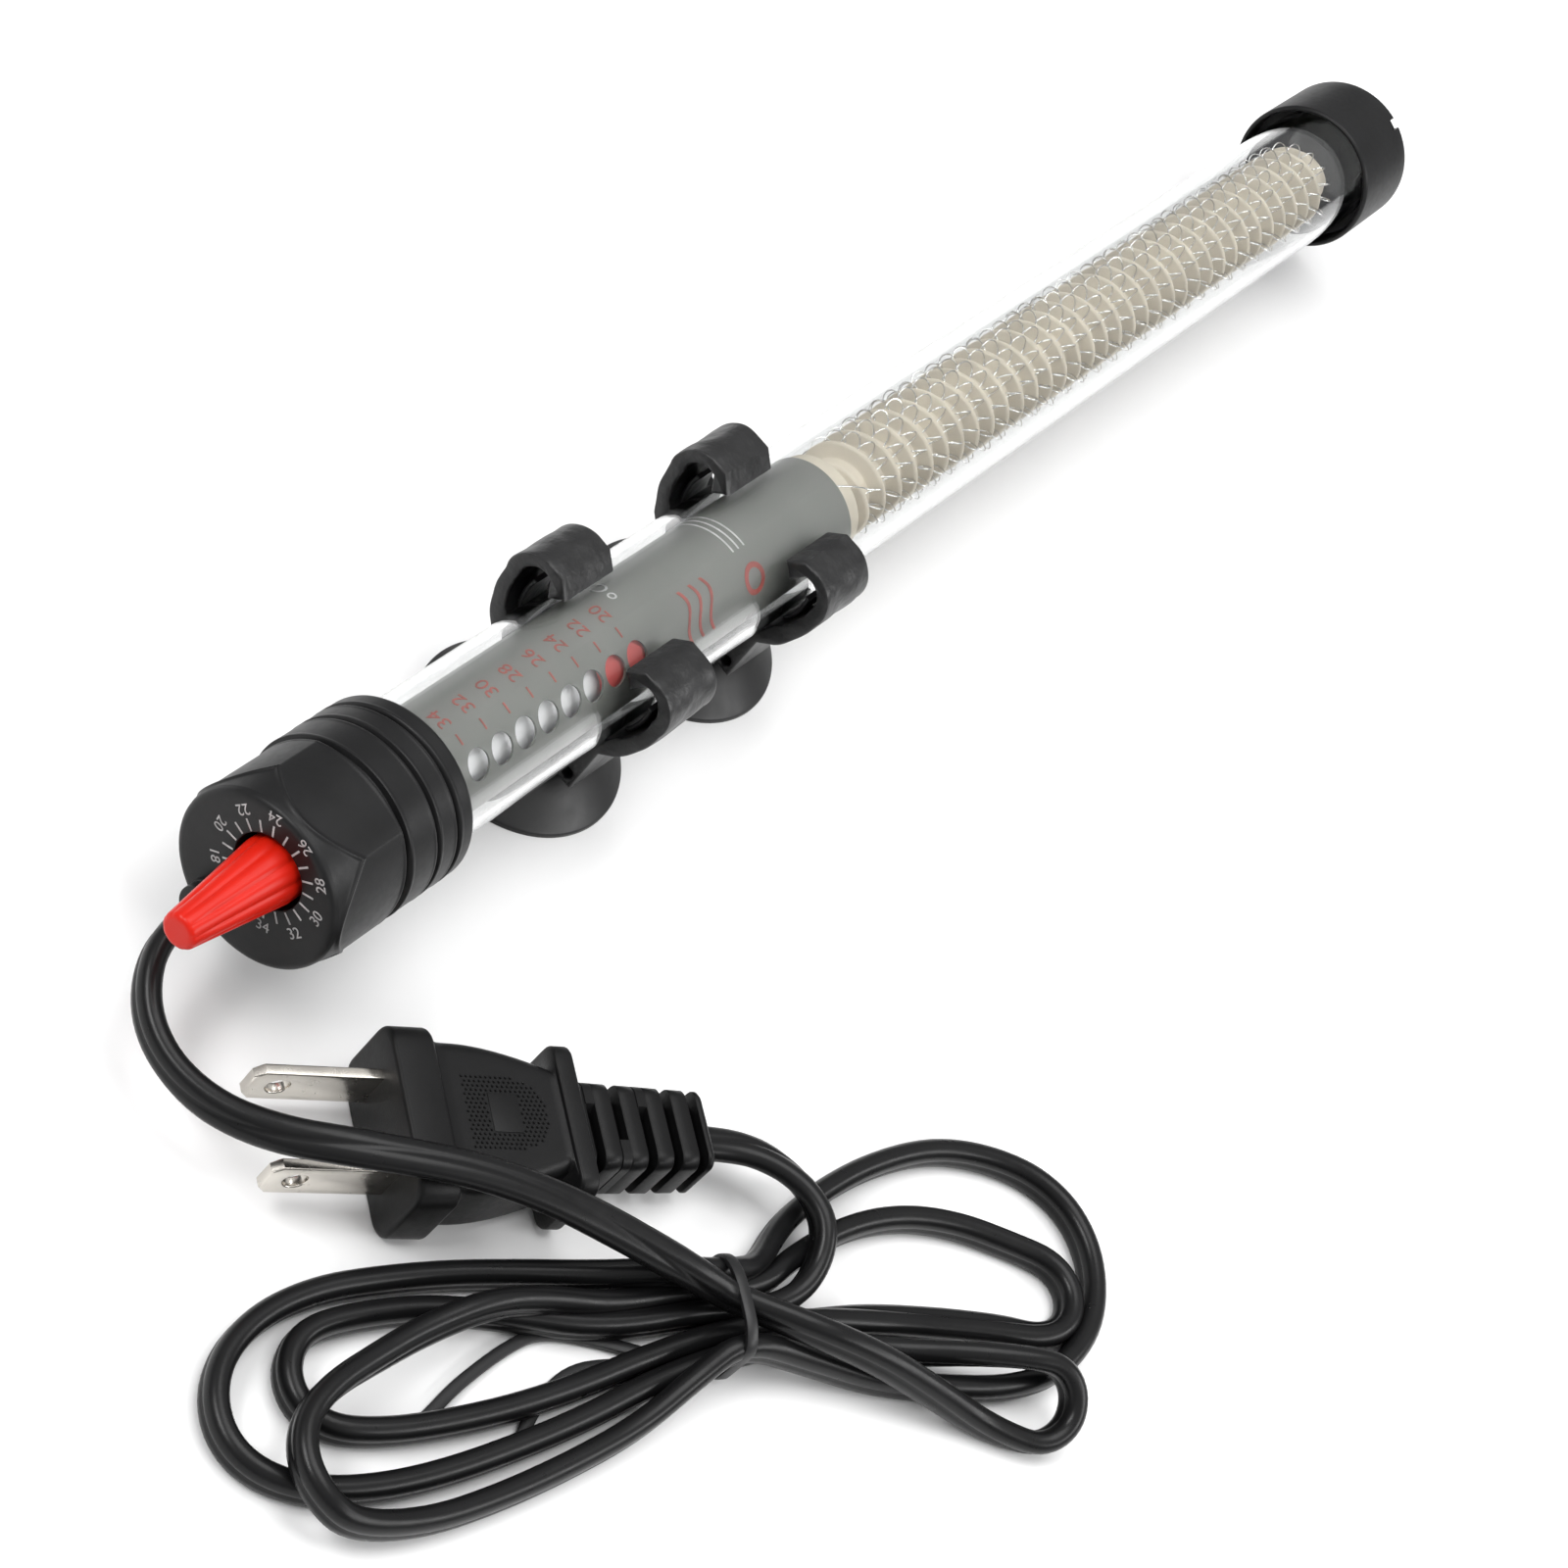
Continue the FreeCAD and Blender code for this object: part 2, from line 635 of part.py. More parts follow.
# ---------------------------------------------------------------- clips and suction cups
def clip_half(side):
    """Edges of one half of the clip's outline, from the middle of its base to the trough's middle."""
    def at(point):
        return (0, side * point[0], AXIS_Z + point[1])

    def on_bore(degrees):
        return at(on_circle(CLIP_BORE, degrees))

    outer = [at(p) for p in CLIP_OUTER]
    inner = [at(p) for p in CLIP_INNER]
    corner = at((CLIP_OUTER[0][0], CLIP_BOTTOM))
    return [
        line(at((0, CLIP_BOTTOM)), corner),
        line(corner, outer[0]),
        line(outer[0], outer[1]),
        arc(outer[1], outer[2], outer[3]),
        arc(outer[3], outer[4], outer[5]),
        line(outer[5], outer[6]),
        line(outer[6], on_bore(PAD_FROM)),
        arc(on_bore(PAD_FROM), on_bore((PAD_FROM + PAD_TO) / 2), on_bore(PAD_TO)),
        line(on_bore(PAD_TO), inner[0]),
        arc(inner[0], inner[1], inner[2]),
        arc(inner[2], inner[3], inner[4]),
        line(inner[4], on_bore(TROUGH_END)),
        arc(on_bore(TROUGH_END), on_bore((TROUGH_END - 90) / 2), on_bore(-90)),
    ]


def clip(x):
    """Rubber clip: block under the glass, two looped arms with pads, and a slot for the cup's stem."""
    outline = Part.Wire(Part.__sortEdges__(clip_half(1) + clip_half(-1)))
    body = Part.Face(outline).extrude(V(CLIP_W, 0, 0))
    body.translate(V(-CLIP_W / 2, 0, 0))
    for side in (1, -1):
        hole = cylinder(RELIEF_HOLE_R, -CLIP_W / 2, CLIP_W / 2, side * RELIEF_HOLE_Y, RELIEF_HOLE_DZ)
        body = body.cut(hole)
    low = AXIS_Z + CLIP_BOTTOM
    pocket_low = CUP_DISC_Z - PIECE_GAP
    pocket_high = CUP_DISC_Z + CUP_DISC_T + PIECE_GAP
    for radius, z0, z1 in (
        (CUP_NECK_R + PIECE_GAP, low, pocket_low),
        (CUP_DISC_R + PIECE_GAP, pocket_low, pocket_high),
    ):
        round_part = Part.makeCylinder(radius, z1 - z0, V(0, 0, z0), Z_DIR)
        way_in = Part.makeBox(CLIP_W / 2, 2 * radius, z1 - z0, V(0, -radius, z0))
        body = body.cut(round_part.fuse(way_in))
    body.translate(V(x, 0, 0))
    return body


def cup(x):
    """Suction cup: thin dome, stem and the disc that the clip holds."""
    edges = [
        line((CUP_INNER_R, 0, 0), (CUP_R, 0, 0)),
        line((CUP_R, 0, 0), (CUP_R, 0, CUP_RIM)),
        arc((CUP_R, 0, CUP_RIM), (CUP_CURVE[0], 0, CUP_CURVE[1]), (CUP_NECK_R + 1, 0, CUP_TOP)),
        line((CUP_NECK_R + 1, 0, CUP_TOP), (CUP_NECK_R, 0, CUP_TOP)),
        line((CUP_NECK_R, 0, CUP_TOP), (CUP_NECK_R, 0, CUP_DISC_Z)),
        line((CUP_NECK_R, 0, CUP_DISC_Z), (CUP_DISC_R, 0, CUP_DISC_Z)),
        line((CUP_DISC_R, 0, CUP_DISC_Z), (CUP_DISC_R, 0, CUP_DISC_Z + CUP_DISC_T)),
        line((CUP_DISC_R, 0, CUP_DISC_Z + CUP_DISC_T), (0, 0, CUP_DISC_Z + CUP_DISC_T)),
        line((0, 0, CUP_DISC_Z + CUP_DISC_T), (0, 0, CUP_INNER_TOP)),
        arc((0, 0, CUP_INNER_TOP), (CUP_INNER_CURVE[0], 0, CUP_INNER_CURVE[1]), (CUP_INNER_R, 0, 0)),
    ]
    solid = Part.Face(Part.Wire(edges)).revolve(V(0, 0, 0), Z_DIR, 360)
    solid.translate(V(x, 0, 0))
    return solid


# ---------------------------------------------------------------- cord hank, tie and plug
def place(shape, x, y, bearing):
    shape.rotate(V(0, 0, 0), Z_DIR, bearing)
    shape.translate(V(x, y, 0))
    return shape


def lobe(outline, arcs):
    """Flat-topped lobe: a straight edge, then arcs through every second point, then straight edges."""
    points = [(x, y, 0) for x, y in outline]
    edges = [line(points[0], points[1])]
    at = 1
    for _ in range(arcs):
        edges.append(arc(*points[at:at + 3]))
        at += 2
    rest = points[at:] + points[:1]
    edges += [line(a, b) for a, b in zip(rest, rest[1:])]
    return Part.Face(Part.Wire(edges)).extrude(V(0, 0, HANK_H))


def cord_hank():
    """Outer shape of the tied loops: two uneven lobes and the waist that the tie holds."""
    lobes = [lobe(LEFT_LOBE, LEFT_ARCS), lobe(RIGHT_LOBE, RIGHT_ARCS)]
    height = WAIST_TOP - WAIST_BOTTOM
    reach = WAIST_L / 2 + WAIST_OVERLAP
    waist = Part.makeBox(2 * reach, 2 * WAIST_HALF, height, V(-reach, -WAIST_HALF, WAIST_BOTTOM))
    waist = place(waist, TIE_X, TIE_Y, TIE_BEARING)
    return waist.fuse(lobes[0]).fuse(lobes[1]).removeSplitter()


def hank_tie():
    """Flat strip closed round the waist of the hank."""
    half = WAIST_HALF + TIE_GAP
    top = WAIST_TOP + TIE_GAP
    outer = Part.makeBox(TIE_W, 2 * (half + TIE_T), top + TIE_T, V(-TIE_W / 2, -half - TIE_T, 0))
    inner = Part.makeBox(TIE_W, 2 * half, top - TIE_T, V(-TIE_W / 2, -half, TIE_T))
    return place(rounded(outer, 2 * TIE_T, X_DIR).cut(inner), TIE_X, TIE_Y, TIE_BEARING)


def box_about_axis(x0, x1, width, height):
    return Part.makeBox(x1 - x0, width, height, V(x0, -width / 2, PLUG_Z - height / 2))


def plug_blade_local(side):
    middle = side * BLADE_PITCH / 2
    low = PLUG_Z - BLADE_W / 2
    high = PLUG_Z + BLADE_W / 2
    outline = [
        (BLADE_ROOT, low),
        (-BLADE_L + BLADE_TIP, low),
        (-BLADE_L, low + BLADE_TIP),
        (-BLADE_L, high - BLADE_TIP),
        (-BLADE_L + BLADE_TIP, high),
        (BLADE_ROOT, high),
    ]
    wire = Part.makePolygon([V(x, middle - BLADE_T / 2, z) for x, z in outline + outline[:1]])
    blade = Part.Face(wire).extrude(V(0, BLADE_T, 0))
    at = V(-BLADE_L + BLADE_HOLE_FROM_TIP, middle - BLADE_T, PLUG_Z)
    return blade.cut(Part.makeCylinder(BLADE_HOLE_R, 2 * BLADE_T, at, V(0, 1, 0)))


def plug_blade(side):
    return place(plug_blade_local(side), PLUG_X, PLUG_Y, PLUG_BEARING)


def plug_barrel():
    """Barrel with sides that curve in to a waist before the rear flange."""
    start = FLANGE_L
    end = FLANGE_L + BARREL_L
    bulge = start + BARREL_BULGE_X
    edges = [
        line((start, -BARREL_HALF, 0), (start, BARREL_HALF, 0)),
        arc((start, BARREL_HALF, 0), (bulge, BARREL_HALF - BARREL_BULGE_IN, 0), (end, BARREL_WAIST, 0)),
        line((end, BARREL_WAIST, 0), (end, -BARREL_WAIST, 0)),
        arc((end, -BARREL_WAIST, 0), (bulge, BARREL_BULGE_IN - BARREL_HALF, 0), (start, -BARREL_HALF, 0)),
    ]
    barrel = Part.Face(Part.Wire(edges)).extrude(V(0, 0, BARREL_H))
    barrel.translate(V(0, 0, PLUG_Z - BARREL_H / 2))
    return barrel


def strain_relief():
    """Tapered tail with slots that take turns from side to side."""
    start = FLANGE_L + BARREL_L + REAR_L
    end = start + RELIEF_L
    outline = [
        (start, -RELIEF_HALF),
        (end, -RELIEF_END_HALF),
        (end, RELIEF_END_HALF),
        (start, RELIEF_HALF),
    ]
    low = PLUG_Z - RELIEF_H / 2
    wire = Part.makePolygon([V(x, y, low) for x, y in outline + outline[:1]])
    relief = Part.Face(wire).extrude(V(0, 0, RELIEF_H))
    step = RELIEF_L / RELIEF_SLOTS
    for k in range(RELIEF_SLOTS):
        x = start + (k + FIRST_SLOT) * step
        core = box_about_axis(x, x + SLOT_W, 2 * (RELIEF_END_HALF - SLOT_DEPTH), RELIEF_H - 2 * SLOT_DEPTH)
        slot = box_about_axis(x, x + SLOT_W, 3 * RELIEF_HALF, 2 * RELIEF_H).cut(core)
        side = 1 if k % 2 else -1
        half = Part.makeBox(SLOT_W, 2 * RELIEF_HALF, 3 * RELIEF_H, V(x, 0, -RELIEF_H))
        if side < 0:
            half.translate(V(0, -2 * RELIEF_HALF, 0))
        half.translate(V(0, -side * RELIEF_HALF / 3, 0))
        relief = relief.cut(slot.common(half))
    return relief


def plug_body():
    flange = rounded(box_about_axis(0, FLANGE_L, FLANGE_W, FLANGE_H), FLANGE_ROUND, X_DIR)
    rear = FLANGE_L + BARREL_L
    rear_flange = rounded(box_about_axis(rear, rear + REAR_L, REAR_W, REAR_H), REAR_ROUND, X_DIR)
    body = flange.fuse(plug_barrel()).fuse(rear_flange).fuse(strain_relief())
    for side in (1, -1):
        body = body.cut(plug_blade_local(side))
    return place(body.removeSplitter(), PLUG_X, PLUG_Y, PLUG_BEARING)


# ---------------------------------------------------------------- all pieces
PIECES = {
    "head_cap": head_cap(),
    "cord_gland": cord_gland(),
    "adjusting_knob": adjusting_knob(),
    "spindle": spindle(),
    "spindle_seal": spindle_seal(),
    "glass_tube": glass_tube(),
    "tube_stopper": tube_stopper(),
    "label_sleeve": label_sleeve(),
    "window_backing": window_backing(),
    "temperature_indicator": temperature_indicator(),
    "thermostat_frame": thermostat_frame(),
    "spindle_bracket": spindle_bracket(),
    "bimetal_block": bimetal_block(),
    "bimetal_strip": bimetal_strip(),
    "moving_contact": moving_contact(),
    "fixed_contact": fixed_contact(),
    "contact_arm": contact_arm(),
    "contact_block": contact_block(),
    "snap_magnet": snap_magnet(),
    "indicator_lamp": indicator_lamp(),
    "lamp_resistor": lamp_resistor(),
    "lead_wire_live": lead_wire(1, LIVE_END),
    "lead_wire_neutral": lead_wire(-1, BRACKET_X),
    "insulator_disc": insulator_disc(),
    "ceramic_former": ceramic_former(),
    "heating_coil": heating_coil(),
    "end_cap": end_cap(),
    "end_cushion": end_cushion(),
    "clip_front": clip(CLIP_FRONT_X),
    "clip_rear": clip(CLIP_REAR_X),
    "cup_front": cup(CLIP_FRONT_X),
    "cup_rear": cup(CLIP_REAR_X),
    "cord_lead": cord_tube("lead", LEAD_ROUTE),
    "cord_tail": cord_tube("tail", TAIL_ROUTE),
    "cord_hank": cord_hank(),
    "hank_tie": hank_tie(),
    "plug_body": plug_body(),
    "plug_blade_left": plug_blade(-1),
    "plug_blade_right": plug_blade(1),
}

os.makedirs("parts", exist_ok=True)
for node, shape in PIECES.items():
    shape.exportStep("parts/" + node + ".step")
    print(node, "valid", shape.isValid(), "solids", len(shape.Solids), "volume", round(shape.Volume, 1))
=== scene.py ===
from contextlib import contextmanager
from math import atan2, copysign, cos, degrees, exp, hypot, pi, radians, sin, sqrt

import bmesh
import bpy
from mathutils import Matrix, Vector, noise


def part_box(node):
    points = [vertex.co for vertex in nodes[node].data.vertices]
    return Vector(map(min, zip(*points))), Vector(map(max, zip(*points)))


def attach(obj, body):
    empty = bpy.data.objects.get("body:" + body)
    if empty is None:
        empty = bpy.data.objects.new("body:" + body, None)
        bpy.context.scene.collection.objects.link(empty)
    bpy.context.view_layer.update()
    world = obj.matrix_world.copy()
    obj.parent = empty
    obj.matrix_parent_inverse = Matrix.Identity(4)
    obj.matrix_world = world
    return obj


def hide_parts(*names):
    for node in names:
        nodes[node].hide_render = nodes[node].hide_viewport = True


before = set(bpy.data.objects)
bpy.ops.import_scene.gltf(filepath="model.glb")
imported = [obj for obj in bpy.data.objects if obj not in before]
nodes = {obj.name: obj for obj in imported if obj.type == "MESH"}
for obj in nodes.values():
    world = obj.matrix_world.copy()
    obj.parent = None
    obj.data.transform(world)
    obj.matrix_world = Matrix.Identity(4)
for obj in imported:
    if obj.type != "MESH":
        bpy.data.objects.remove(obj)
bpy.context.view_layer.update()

MM = 0.001

# ---- places from the frame, mm


def corners(node):
    low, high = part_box(node)
    return low / MM, high / MM


def centre(node):
    low, high = corners(node)
    return (low + high) / 2


GLASS_LOW, GLASS_HIGH = corners("glass_tube")
KNOB_LOW, KNOB_HIGH = corners("adjusting_knob")
GLAND_LOW, GLAND_HIGH = corners("cord_gland")
SLEEVE_LOW, SLEEVE_HIGH = corners("label_sleeve")
CAP_LOW, CAP_HIGH = corners("end_cap")
CUP_LOW, CUP_HIGH = corners("cup_front")

AXIS_Z = centre("glass_tube").z
TUBE_R = (GLASS_HIGH.y - GLASS_LOW.y) / 2
TUBE_WALL = 1.1
FACE_X = corners("head_cap")[0].x
FORMER_X = corners("ceramic_former")[0].x
SLEEVE_R = (SLEEVE_HIGH.y - SLEEVE_LOW.y) / 2
DIAL_Y, DIAL_Z = centre("adjusting_knob").yz
GLAND_Y, GLAND_Z = centre("cord_gland").yz
CUP_R = (CUP_HIGH.x - CUP_LOW.x) / 2

# ---- camera

CAMERA_PLACE = (-0.4225, -0.0653, 0.3641)
CAMERA_RIGHT = Vector((0.54790, -0.66408, 0.50872))
CAMERA_UP = Vector((0.41964, 0.74426, 0.51959))
CAMERA_BACK = Vector((-0.72367, -0.07121, 0.68646))


def new_object(name, data):
    made = bpy.data.objects.new(name, data)
    bpy.context.scene.collection.objects.link(made)
    return made


camera = new_object("camera", bpy.data.cameras.new("camera"))
camera.data.lens = 84.525
camera.data.sensor_width = 36
camera.data.clip_start = 0.01
turn = Matrix((CAMERA_RIGHT, CAMERA_UP, CAMERA_BACK)).transposed()
camera.matrix_world = Matrix.Translation(CAMERA_PLACE) @ turn.to_4x4()
bpy.context.scene.camera = camera

# ---- materials


def surface(name, colour, roughness, grain=0.5, bump=0.01, variation=0.25, spread=0.08, blotch=8.0,
            **sockets):
    """Shader with fine grain in its bump and roughness, and slow variation in its colour. Sizes are in mm."""
    made = bpy.data.materials.new(name)
    made.use_nodes = True
    tree = made.node_tree
    shader = tree.nodes["Principled BSDF"]
    place = tree.nodes.new("ShaderNodeTexCoord").outputs["Object"]

    def grained(size, detail=3.0):
        node = tree.nodes.new("ShaderNodeTexNoise")
        node.inputs["Scale"].default_value = 1 / (size * MM)
        node.inputs["Detail"].default_value = detail
        tree.links.new(place, node.inputs["Vector"])
        return node.outputs["Fac"]

    ramp = tree.nodes.new("ShaderNodeValToRGB")
    ramp.color_ramp.elements[0].position = 0.3
    ramp.color_ramp.elements[1].position = 0.7
    for element, share in zip(ramp.color_ramp.elements, (1 - variation, 1 + variation)):
        element.color = [min(1.0, c * share) for c in colour[:3]] + [1.0]
    tree.links.new(grained(blotch), ramp.inputs["Fac"])
    tree.links.new(ramp.outputs["Color"], shader.inputs["Base Color"])

    limits = tree.nodes.new("ShaderNodeMapRange")
    limits.inputs["To Min"].default_value = max(0.0, roughness - spread)
    limits.inputs["To Max"].default_value = min(1.0, roughness + spread)
    tree.links.new(grained(grain * 4), limits.inputs["Value"])
    tree.links.new(limits.outputs["Result"], shader.inputs["Roughness"])

    relief = tree.nodes.new("ShaderNodeBump")
    relief.inputs["Strength"].default_value = 0.6
    relief.inputs["Distance"].default_value = bump * MM
    tree.links.new(grained(grain), relief.inputs["Height"])
    tree.links.new(relief.outputs["Normal"], shader.inputs["Normal"])
    for socket, value in sockets.items():
        shader.inputs[socket.replace("_", " ")].default_value = value
    return made


RUBBER = surface("rubber", (0.006, 0.006, 0.0063), 0.42, grain=0.25, bump=0.014,
                 Specular_IOR_Level=0.22)
CLIP_RUBBER = surface("clip_rubber", (0.010, 0.010, 0.0103), 0.4, grain=1.6, bump=0.3, variation=0.3,
                      blotch=3.0, Specular_IOR_Level=0.4)
CUP_RUBBER = surface("cup_rubber", (0.008, 0.008, 0.0083), 0.4, grain=0.6, bump=0.014, variation=0.15,
                     Specular_IOR_Level=0.36)
RED = surface("red_plastic", (0.50, 0.010, 0.003), 0.34, bump=0.008, variation=0.06,
              Specular_IOR_Level=0.2)
RED_STRIP = surface("red_strip", (0.74, 0.13, 0.12), 0.4, bump=0.008, variation=0.12)
GLASS = surface("glass", (0.965, 0.972, 0.97), 0.008, grain=6.0, bump=0.008, variation=0.003, spread=0.006,
                Transmission_Weight=1.0, IOR=1.47)
SLEEVE = surface("grey_sleeve", (0.20, 0.205, 0.19), 0.33, grain=1.2, bump=0.012, variation=0.08, blotch=14.0,
                 Metallic=0.1)
WHITE = surface("white_strip", (0.92, 0.92, 0.93), 0.5, grain=0.8, variation=0.04)
CERAMIC = surface("ceramic", (0.66, 0.60, 0.49), 0.62, grain=0.35, bump=0.03, variation=0.08, blotch=5.0)
STEEL = surface("steel", (0.58, 0.58, 0.57), 0.32, variation=0.06, Metallic=1.0)
BRASS = surface("brass", (0.72, 0.52, 0.24), 0.3, variation=0.08, Metallic=1.0)
WIRE = surface("resistance_wire", (0.66, 0.66, 0.65), 0.26, grain=0.6, bump=0.004, variation=0.1,
               Metallic=1.0)
LAMP = surface("lamp_glass", (0.95, 0.62, 0.45), 0.06, grain=2.0, variation=0.03, spread=0.03,
               Transmission_Weight=0.8, IOR=1.5)
SLEEVING = surface("wire_sleeving", (0.78, 0.77, 0.73), 0.7, grain=0.25, bump=0.04, variation=0.08)
CORD = surface("cord_pvc", (0.006, 0.006, 0.0063), 0.3, bump=0.012, blotch=20.0,
               Specular_IOR_Level=0.2)
TIE = surface("tie_plastic", (0.008, 0.008, 0.0085), 0.42, grain=0.4, bump=0.02, variation=0.2,
              Specular_IOR_Level=0.36)
PLUG = surface("plug_plastic", (0.004, 0.004, 0.0042), 0.4, grain=0.22, bump=0.035,
               Specular_IOR_Level=0.18)
NICKEL = surface("nickel", (0.60, 0.57, 0.52), 0.24, grain=0.3, bump=0.012, variation=0.14, spread=0.1,
                 Metallic=1.0)
FLOOR = surface("floor", (0.80, 0.80, 0.80), 0.6, grain=3.0, bump=0.0, variation=0.004, blotch=200.0)
INK_WHITE = surface("white_ink", (0.62, 0.62, 0.62), 0.5, grain=0.3, bump=0.004, variation=0.2, blotch=1.5)
INK_GREY = surface("grey_ink", (0.34, 0.34, 0.34), 0.5, grain=0.3, bump=0.004, variation=0.3, blotch=1.5)
INK_RED = surface("red_ink", (0.36, 0.075, 0.06), 0.5, grain=0.3, bump=0.004, blotch=1.5)

# ---- helpers


def shade(mesh, angle=32):
    for polygon in mesh.polygons:
        polygon.use_smooth = True
    mesh.set_sharp_from_angle(angle=radians(angle))


def piece(name, mesh, body, slot, look, *replaced, sharp=32):
    """Object from a mesh in metres, riding on a body of the frame."""
    shade(mesh, sharp)
    mesh.name = name
    mesh.materials.clear()
    mesh.materials.append(look)
    made = new_object(name, mesh)
    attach(made, body)
    if replaced:
        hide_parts(*replaced)
    return made


def mesh_of(points, faces):
    mesh = bpy.data.meshes.new("mesh")
    mesh.from_pydata([(x * MM, y * MM, z * MM) for x, y, z in points], [], faces)
    mesh.validate()
    return mesh


@contextmanager
def edited(mesh):
    """Give a mesh's bmesh, and write it back when the block ends."""
    work = bmesh.new()
    work.from_mesh(mesh)
    yield work
    work.to_mesh(mesh)
    work.free()


def fix_normals(mesh):
    with edited(mesh) as work:
        bmesh.ops.recalc_face_normals(work, faces=work.faces)
        if work.calc_volume(signed=True) < 0:
            bmesh.ops.reverse_faces(work, faces=work.faces)
    return mesh


def cut_across(work, places):
    """Cut a bmesh by planes across X, at places in mm."""
    for x in places:
        geometry = work.verts[:] + work.edges[:] + work.faces[:]
        bmesh.ops.bisect_plane(work, geom=geometry, plane_co=(x * MM, 0, 0), plane_no=(1, 0, 0))


def loft(rings, joined=False):
    """Skin over rings of points in mm. A ring of one point is a pole, and joined closes last to first."""
    points = []
    starts = []
    for ring in rings:
        starts.append(len(points))
        points += ring
    faces = []
    order = list(range(len(rings)))
    for a, b in zip(order, order[1:] + order[:1] if joined else order[1:]):
        count = max(len(rings[a]), len(rings[b]))
        for k in range(count):
            n = (k + 1) % count
            near = [starts[a] + k % len(rings[a]), starts[a] + n % len(rings[a])]
            far = [starts[b] + n % len(rings[b]), starts[b] + k % len(rings[b])]
            faces.append(list(dict.fromkeys(near + far)))
    return fix_normals(mesh_of(points, faces))


def join(*meshes):
    work = bmesh.new()
    for mesh in meshes:
        work.from_mesh(mesh)
    result = bpy.data.meshes.new("mesh")
    work.to_mesh(result)
    work.free()
    return result


def circle(x, radius, y=0.0, z=AXIS_Z, count=160):
    """Ring about an axis along X."""
    if radius == 0:
        return [(x, y, z)]
    steps = [2 * pi * k / count for k in range(count)]
    return [(x, y + radius * cos(a), z + radius * sin(a)) for a in steps]


def rounded(corners, steps=5):
    """Points of a line through (along, out, fillet) corners, with each corner rounded by its fillet."""
    points = []
    for i, (u, v, fillet) in enumerate(corners):
        if fillet == 0 or i in (0, len(corners) - 1):
            points.append((u, v))
            continue
        here = Vector((u, v))
        start = here + (Vector(corners[i - 1][:2]) - here).normalized() * fillet
        end = here + (Vector(corners[i + 1][:2]) - here).normalized() * fillet
        for k in range(steps + 1):
            t = k / steps
            points.append(tuple(start * (1 - t) ** 2 + here * 2 * t * (1 - t) + end * t ** 2))
    return points


def lathe(profile, y=0.0, z=AXIS_Z, count=160, joined=False):
    """Turned piece about an axis along X from a rounded profile of (x, radius, fillet)."""
    return loft([circle(u, v, y, z, count) for u, v in rounded(profile)], joined)


def lathe_up(profile, x):
    """Turned piece about a vertical axis at x from a rounded profile of (height, radius, fillet)."""
    rings = [circle(height, radius, 0, 0, 128) for height, radius in rounded(profile)]
    return loft([[(x + b, c, a) for a, b, c in ring] for ring in rings])


def arc_points(a, b, c, steps=10):
    """Points on the arc from a through b to c, in a plane, without the last one."""
    (ax, ay), (bx, by), (cx, cy) = a, b, c
    d = 2 * (ax * (by - cy) + bx * (cy - ay) + cx * (ay - by))
    sa, sb, sc = ax * ax + ay * ay, bx * bx + by * by, cx * cx + cy * cy
    x = (sa * (by - cy) + sb * (cy - ay) + sc * (ay - by)) / d
    y = (sa * (cx - bx) + sb * (ax - cx) + sc * (bx - ax)) / d
    start = atan2(ay - y, ax - x)
    middle = (atan2(by - y, bx - x) - start) % (2 * pi)
    sweep = (atan2(cy - y, cx - x) - start) % (2 * pi)
    if middle > sweep:
        sweep -= 2 * pi
    radius = hypot(ax - x, ay - y)
    angles = [start + sweep * k / steps for k in range(steps)]
    return [(x + radius * cos(t), y + radius * sin(t)) for t in angles]


def disc(radius, count, u=0.0, v=0.0):
    """Closed round outline about (u, v)."""
    steps = [2 * pi * k / count for k in range(count)]
    return [(u + radius * cos(a), v + radius * sin(a)) for a in steps]


def from_curve(curve, matrix=Matrix.Identity(4)):
    """Mesh of a curve, placed by a matrix in metres."""
    holder = new_object("holder", curve)
    bpy.context.view_layer.update()
    mesh = bpy.data.meshes.new_from_object(holder)
    bpy.data.objects.remove(holder)
    mesh.transform(matrix)
    return mesh


def poly_line(curve, points):
    """Line in a curve, through points in mm given as (x, y) or (x, y, z)."""
    line = curve.splines.new("POLY")
    line.points.add(len(points) - 1)
    for point, place in zip(line.points, points):
        x, y, z = (*place, 0)[:3]
        point.co = (x * MM, y * MM, z * MM, 1)
    return line


def slab(outlines, thickness, edge, matrix=Matrix.Identity(4)):
    """Flat piece cut from closed outlines in mm, the later ones holes, with rounded edges."""
    curve = bpy.data.curves.new("slab", "CURVE")
    curve.dimensions = "2D"
    curve.fill_mode = "BOTH"
    curve.extrude = (thickness / 2 - edge) * MM
    curve.bevel_depth = edge * MM
    curve.bevel_resolution = 2
    curve.offset = -edge * MM
    for outline in outlines:
        poly_line(curve, outline).use_cyclic_u = True
    mesh = from_curve(curve, matrix)
    weld(mesh)
    return mesh


def weld(mesh, reach=0.002):
    """Merge points that are closer than reach mm, and turn the faces outwards."""
    with edited(mesh) as work:
        bmesh.ops.remove_doubles(work, verts=work.verts, dist=reach * MM)
        bmesh.ops.dissolve_degenerate(work, edges=work.edges, dist=reach * MM / 4)
        bmesh.ops.recalc_face_normals(work, faces=work.faces)


def rod(points, radius):
    """Thin round wire along points in mm."""
    curve = bpy.data.curves.new("rod", "CURVE")
    curve.dimensions = "3D"
    curve.use_fill_caps = True
    curve.bevel_depth = radius * MM
    curve.bevel_resolution = 1
    poly_line(curve, points)
    mesh = from_curve(curve)
    weld(mesh, 0.0005)
    return mesh


# ---- cord

TIE_X, TIE_Y = -118.0, -77.0
TIE_BEARING = radians(-33.0)
CORD_WIDTH = 4.8
CORD_THICK = 3.1
GROOVE = 0.18
ON_EDGE = (CORD_WIDTH / 2, 90)

